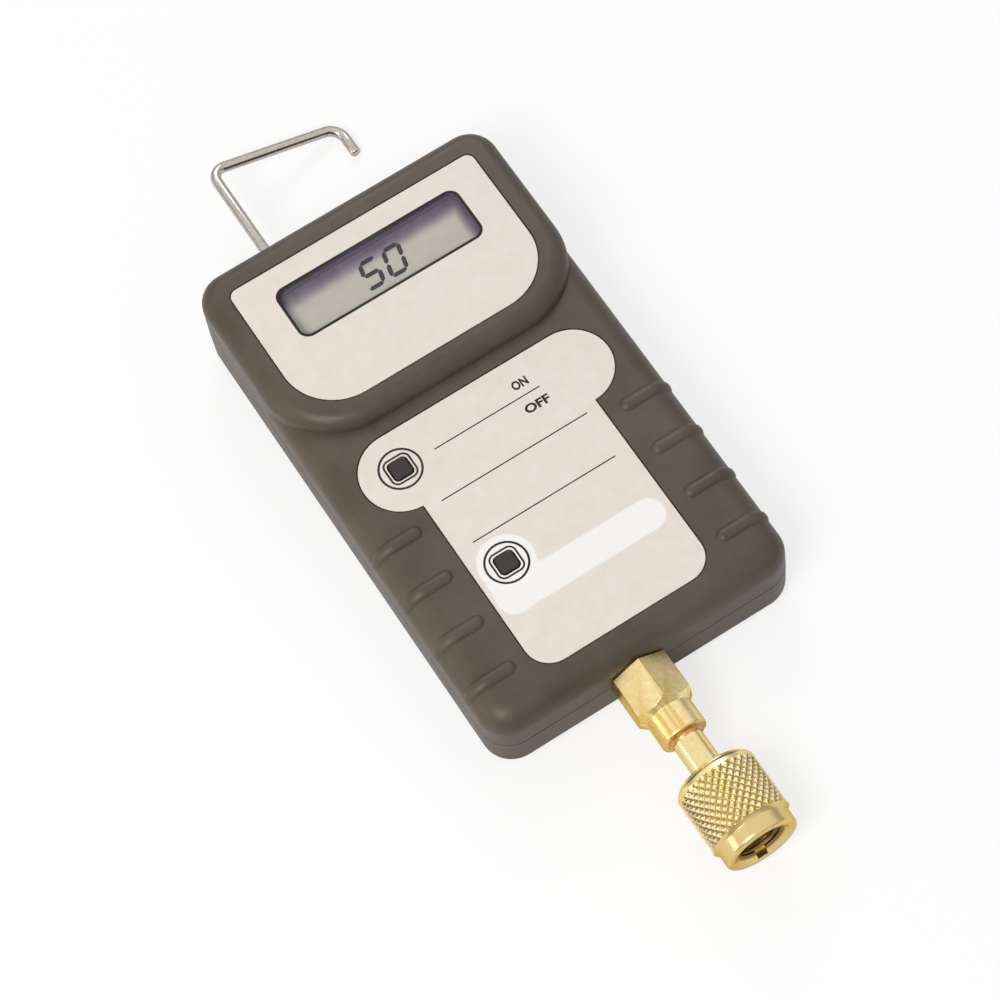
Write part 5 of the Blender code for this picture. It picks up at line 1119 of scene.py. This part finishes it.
def nutMaterial():
    # turned brass; how far a point is from the nut's axis sets painted shade in the knurl's grooves and inside the bore
    form, rear = nutForm, float(nodeBox("coupling_nut")[1][1])
    tree, shader = startMaterial("knurledBrass", Metallic=1.0, Specular_Tint=brassEdge)
    ring = useGroup(tree, turnedLines, Lines=5000.0, Scratch=0.5)
    base = mixColour(tree, spread(tree, ring["Tint"]), (242, 222, 162), (250, 232, 180))
    base = mixColour(tree, useGroup(tree, wornEdge)["Mask"], base, (252, 240, 204))
    place = objectAxes(tree)
    x, y, z = [calc(tree, "SUBTRACT", times(tree, place[axis], 1000.0), middle)
               for axis, middle in (("X", axisX), ("Y", 0.0), ("Z", axisZ))]
    reach = calc(tree, "SQRT", calc(tree, "ADD", times(tree, x, x), times(tree, z, z)))
    knurlStart = rear - form["shoulder"] - 0.1
    beyond = calc(tree, "LESS_THAN", y, knurlStart - form["knurlLength"] + 0.2)
    onKnurl = times(tree, calc(tree, "LESS_THAN", y, knurlStart), calc(tree, "SUBTRACT", 1.0, beyond))
    top = form["radius"]
    # painted shade: the knurl's grooves and the inside of the bore are darkened, and made rougher
    groove = times(tree, onKnurl, spread(tree, reach, top - form["knurlDepth"], top - 0.2, 1.0, 0.0))
    inside = times(tree, spread(tree, reach, form["bore"] + 0.5, form["bore"] + 1.0, 1.0, 0.0),
                   calc(tree, "LESS_THAN", y, rear - 0.8))
    paintedShadeMask = larger(tree, groove, inside)
    base = mixColour(tree, times(tree, beyond, form["collarTone"]), base, (202, 172, 108))
    paintedShadeAmount = larger(tree, times(tree, paintedShadeMask, form["grooveShadeTone"]), times(tree, inside, form["boreShadeTone"]))
    feed(tree, mixColour(tree, paintedShadeAmount, base, (110, 88, 50)), shader.inputs["Base Color"])
    feed(tree, spread(tree, paintedShadeMask, 0.0, 1.0, 0.22, 0.45), shader.inputs["Roughness"])
    addBump(tree, shader, ring["Height"], 0.12, 0.00006, 0.0001)


def makeNut():
    # one closed grid of r(angle, y), in rows of radius, y, share of knurl and share of thread. Knurl: with
    # a = diamonds * angle / 2 pi and b = y / pitch, grooves lie where a + b or a - b is whole, and r falls by
    # depth * (1 - distance / share). Thread: a wave of y / pitch - angle / 2 pi.
    form, low, high = nutForm, *nodeBox("coupling_nut")
    rear, face, quarter = high[1], low[1], quarterTurn(8)[1:]
    hole, rim, top, collar, edge, mouth, bore = [form[key] for key in (
        "hole", "rearRim", "radius", "collar", "collarEdge", "mouth", "bore")]
    start = rear - form["shoulder"]
    end = start - form["knurlLength"]
    rows = [(hole, rear, 0, 0), (rim - 0.7, rear, 0, 0)]
    rows += [(rim - 0.5 + 0.5 * np.sin(t), rear - 0.5 * (1 - np.cos(t)), 0, 0) for t in quarter]
    rows += [(rim + (top - 0.05 - rim) * np.sin(t), rear - 0.6 - (form["shoulder"] - 0.75) * (1 - np.cos(t)), 0, 0)
             for t in quarter]
    count = int(form["knurlLength"] / form["knurlPitch"] * form["rowsPerDiamond"])
    rows += [(top, y, 1, 0) for y in np.linspace(start, end, count + 1)]
    stepEnd = end - form["collarStep"]
    rows += [(top - 0.15, end - 0.12, 0, 0), (collar + 0.15, stepEnd + 0.12, 0, 0), (collar, stepEnd - 0.08, 0, 0)]
    rows += [(collar, y, 0, 0) for y in np.linspace(stepEnd - 0.8, face + edge, 4)]
    rows += [(collar - edge * (1 - np.cos(t)), face + edge * (1 - np.sin(t)), 0, 0) for t in quarter]
    threadStart, seat = face + form["mouthChamfer"], rear - form["rearWall"]
    coneEnd = seat - (bore - hole)
    threadEnd = coneEnd - 0.6
    rows += [(mouth + 0.25, face, 0, 0), (mouth, face + 0.12, 0, 0), (bore, threadStart, 0, 0)]
    count = int((threadEnd - threadStart) / form["threadPitch"] * form["threadRows"])
    rows += [(bore, y, 0, 1) for y in np.linspace(threadStart + 0.02, threadEnd, count + 1)]
    rows = np.array(rows + [(bore, coneEnd, 0, 0), (hole, seat, 0, 0)])
    radius, y, knurled, threaded = [rows[:, index:index + 1] for index in range(4)]
    turn = np.arange(form["columns"])[None, :] / form["columns"]
    around, down = form["diamonds"] * turn, (y - end) / form["knurlPitch"]

    def groove(value):
        return np.clip(1 - np.abs(value - np.round(value)) / form["grooveShare"], 0, 1)

    def within(low, high, fade):
        return np.clip(np.minimum(high - y, y - low) / fade, 0, 1)

    knurl = -form["knurlDepth"] * np.maximum(groove(around + down), groove(around - down))
    ramp = np.clip(1.3 * (1 - np.abs(2 * ((y / form["threadPitch"] - turn) % 1.0) - 1)) - 0.12, 0, 1)
    radius = (radius + knurl * within(end, start, form["knurlFade"]) * knurled
              + form["threadDepth"] * ramp * within(threadStart, threadEnd, form["threadFade"]) * threaded)
    half = form["notchWidth"] / 2
    notch = boxShape(axisX - half, axisX + half, face - 2, face + form["notchDepth"], axisZ - mouth + 0.3,
                     axisZ - bore + form["notchDepth"])
    return makePiece("knurledNut", closedGrid(turnedGrid(radius, rows[:, 1], axisX, axisZ, form["columns"])),
                     ("DIFFERENCE", notch), sharpAngle=30)


nutMaterial()
dress(makeNut(), "knurledBrass", "coupling", "brass", "coupling_nut")
print("coupling nut")

gasketForm = dict(hole=2.4, rounds={0: 0.3, 1: 0.4, 2: 0.4, 3: 0.3})


def makeGasket():
    low, high = nodeBox("coupling_gasket")
    outer, hole = (high[0] - low[0]) / 2, gasketForm["hole"]
    profile = softProfile([(hole, low[1]), (outer, low[1]), (outer, high[1]), (hole, high[1])], gasketForm["rounds"])
    return makePiece("rubberGasket", turnedY(profile, axisX, axisZ, 72, True), sharpAngle=40)


pinForm = dict(barHalf=0.6, barHeight=0.8, barCorner=0.3, pin=0.8, pinTip=0.3)


def makeDepressor():
    # flat bar across the bore with a round-ended pin in its middle
    form, low, high = pinForm, *nodeBox("core_depressor")
    barEnd, half = high[1] - form["barHeight"], form["barHalf"]
    outline = roundedOutline(axisX - half, axisX + half, low[2], high[2], form["barCorner"], steps=5)
    pin = softProfile([(form["pin"], barEnd + 0.3), (form["pin"], low[1] + 0.5), (0.62, low[1] + 0.15),
                       (form["pinTip"], low[1])], {2: 0.12})
    return makePiece("depressorBar", alongY(outline, barEnd, high[1]), ("UNION", turnedY(pin, axisX, axisZ, 32)),
                     sharpAngle=40)


dress(makeGasket(), "blackRubber", "coupling", "black_rubber", "coupling_gasket")
dress(makeDepressor(), "dullBrass", "coupling", "brass", "core_depressor")


# Hanging hook

def makeHook():
    # leg, bend, sloping bar, bend and short tip; each bend is a quarter circle in the plane of its two legs, and the
    # plated wire is a little thicker outside its bearing
    form = hookForm
    corner, wire, bend = np.array([form["x"], form["barY"], form["z"]]), form["openWire"], form["bend"]
    slope = math.asin((form["z"] - wire) / form["barLength"])
    bar, leg = np.array([math.cos(slope), 0, -math.sin(slope)]), np.array([0.0, 1.0, 0.0])
    farCorner = corner + bar * form["barLength"]
    places = [(np.array([form["x"], y, form["z"]]), radius) for y, radius in (
        (hookLow[1], form["wire"] * 0.7), (hookLow[1] + 0.25, form["wire"]), (halfLength + 0.5, form["wire"]),
        (halfLength + 1.3, wire))]
    for place, arriving, leaving in ((corner, leg, bar), (farCorner, bar, -leg)):
        centre = place - arriving * bend + leaving * bend
        places += [(centre - leaving * bend * np.cos(turn) + arriving * bend * np.sin(turn), wire)
                   for turn in quarterTurn(form["bendSteps"])]
    tip = farCorner - leg * form["tipLength"]
    places += [(tip + leg * back, wire * share) for back, share in ((0.5, 1.0), (0.22, 0.9), (0.06, 0.7), (0.0, 0.4))]
    path, radii = zip(*places)
    return putMesh("wireHook", tubeAlong(path, radii, form["sides"]), 50)


dress(makeHook(), "nickelWire", "hook", "hook_wire", "hanging_hook")
print("hook")


# Floor, light and camera, in metres

stageForm = dict(floorHalf=3.0, floorZ=-0.00002, worldStrength=0.48, horizon=0.28, floorGlow=0.72, glossyShare=0.22,
                 lamps=[("keyLamp", (-0.5, -0.33, 0.8), (0, 0, 0), (0.4, 0.4), 5.0, (255, 255, 255)),
                        ("fillLamp", (0.3, 0.65, 0.62), (0, 0, 0), (0.4, 0.4), 1.9, (255, 255, 255)),
                        ("sideLamp", (-0.9, 0.05, 0.22), (0, 0, 0.01), (0.5, 0.2), 1.5, (255, 232, 200))])
white = (1.0, 1.0, 1.0, 1.0)


def seenBy(tree, glossy):  # 1 for camera and transmission rays, and the value glossy for glossy rays
    path = addNode(tree, "ShaderNodeLightPath").outputs
    seen = larger(tree, path["Is Camera Ray"], path["Is Transmission Ray"])
    return larger(tree, seen, times(tree, path["Is Glossy Ray"], glossy))


def makeFloor():
    half, z = stageForm["floorHalf"], stageForm["floorZ"]
    mesh = bpy.data.meshes.new("paleFloor")
    mesh.from_pydata([(-half, -half, z), (half, -half, z), (half, half, z), (-half, half, z)], [], [(0, 1, 2, 3)])
    tree, shader = startMaterial("floorWhite", Base_Color=(0.95, 0.95, 0.95, 1.0), Roughness=0.9,
                                 Specular_IOR_Level=0.0)
    glow = addNode(tree, "ShaderNodeEmission", {"Color": white, "Strength": 1.0}).outputs[0]
    share = times(tree, seenBy(tree, stageForm["glossyShare"]), stageForm["floorGlow"])
    mixed = addNode(tree, "ShaderNodeMixShader", {0: share, 1: shader.outputs[0], 2: glow}).outputs[0]
    feed(tree, mixed, tree.nodes["Material Output"].inputs["Surface"])
    mesh.materials.append(finishes["floorWhite"])
    item = addObject("paleFloor", mesh)


def makeWorld():
    # white to the camera; to glossy rays it darkens towards the horizon
    world = bpy.context.scene.world = bpy.data.worlds.new("softRoom")
    world.use_nodes = True
    tree, back = world.node_tree, world.node_tree.nodes["Background"].inputs
    bright = spread(tree, objectAxes(tree)["Z"], 0.05, 0.6, stageForm["horizon"], 1.0, smooth=True)
    feed(tree, white, back["Color"])
    feed(tree, larger(tree, seenBy(tree, bright), stageForm["worldStrength"]), back["Strength"])


def makeLamp(name, place, target, size, power, colour):
    data = bpy.data.lights.new(name, "AREA")
    data.energy, data.color, data.shape = power, screenColour(*colour)[:3], "RECTANGLE"
    data.size, data.size_y = size
    lamp = addObject(name, data)
    lamp.location = place
    lamp.rotation_euler = (Vector(target) - Vector(place)).to_track_quat("-Z", "Y").to_euler()


cameraForm = dict(lens=126.846, sensor=36.0, place=(-0.12851, -0.31494, 0.69211), clip=(0.05, 20.0),
                  right=(0.8433969115, -0.5307900194, -0.0833282964), up=(0.5121238741, 0.7472548899, 0.4234846715),
                  back=(-0.1625139600, -0.3998400740, 0.9020627074))


def makeCamera():
    # axes as image right, image up and backwards, measured from the photograph
    form = cameraForm
    data = bpy.data.cameras.new("camera")
    data.sensor_fit, data.sensor_width, data.lens = "HORIZONTAL", form["sensor"], form["lens"]
    data.clip_start, data.clip_end = form["clip"]
    camera = bpy.context.scene.camera = addObject("camera", data)
    turn = Matrix((form["right"], form["up"], form["back"])).transposed().to_4x4()
    camera.matrix_world = Matrix.Translation(form["place"]) @ turn


makeFloor()
makeWorld()
for lamp in stageForm["lamps"]:
    makeLamp(*lamp)
makeCamera()
bpy.context.scene.view_settings.view_transform = "Standard"
print("stage")
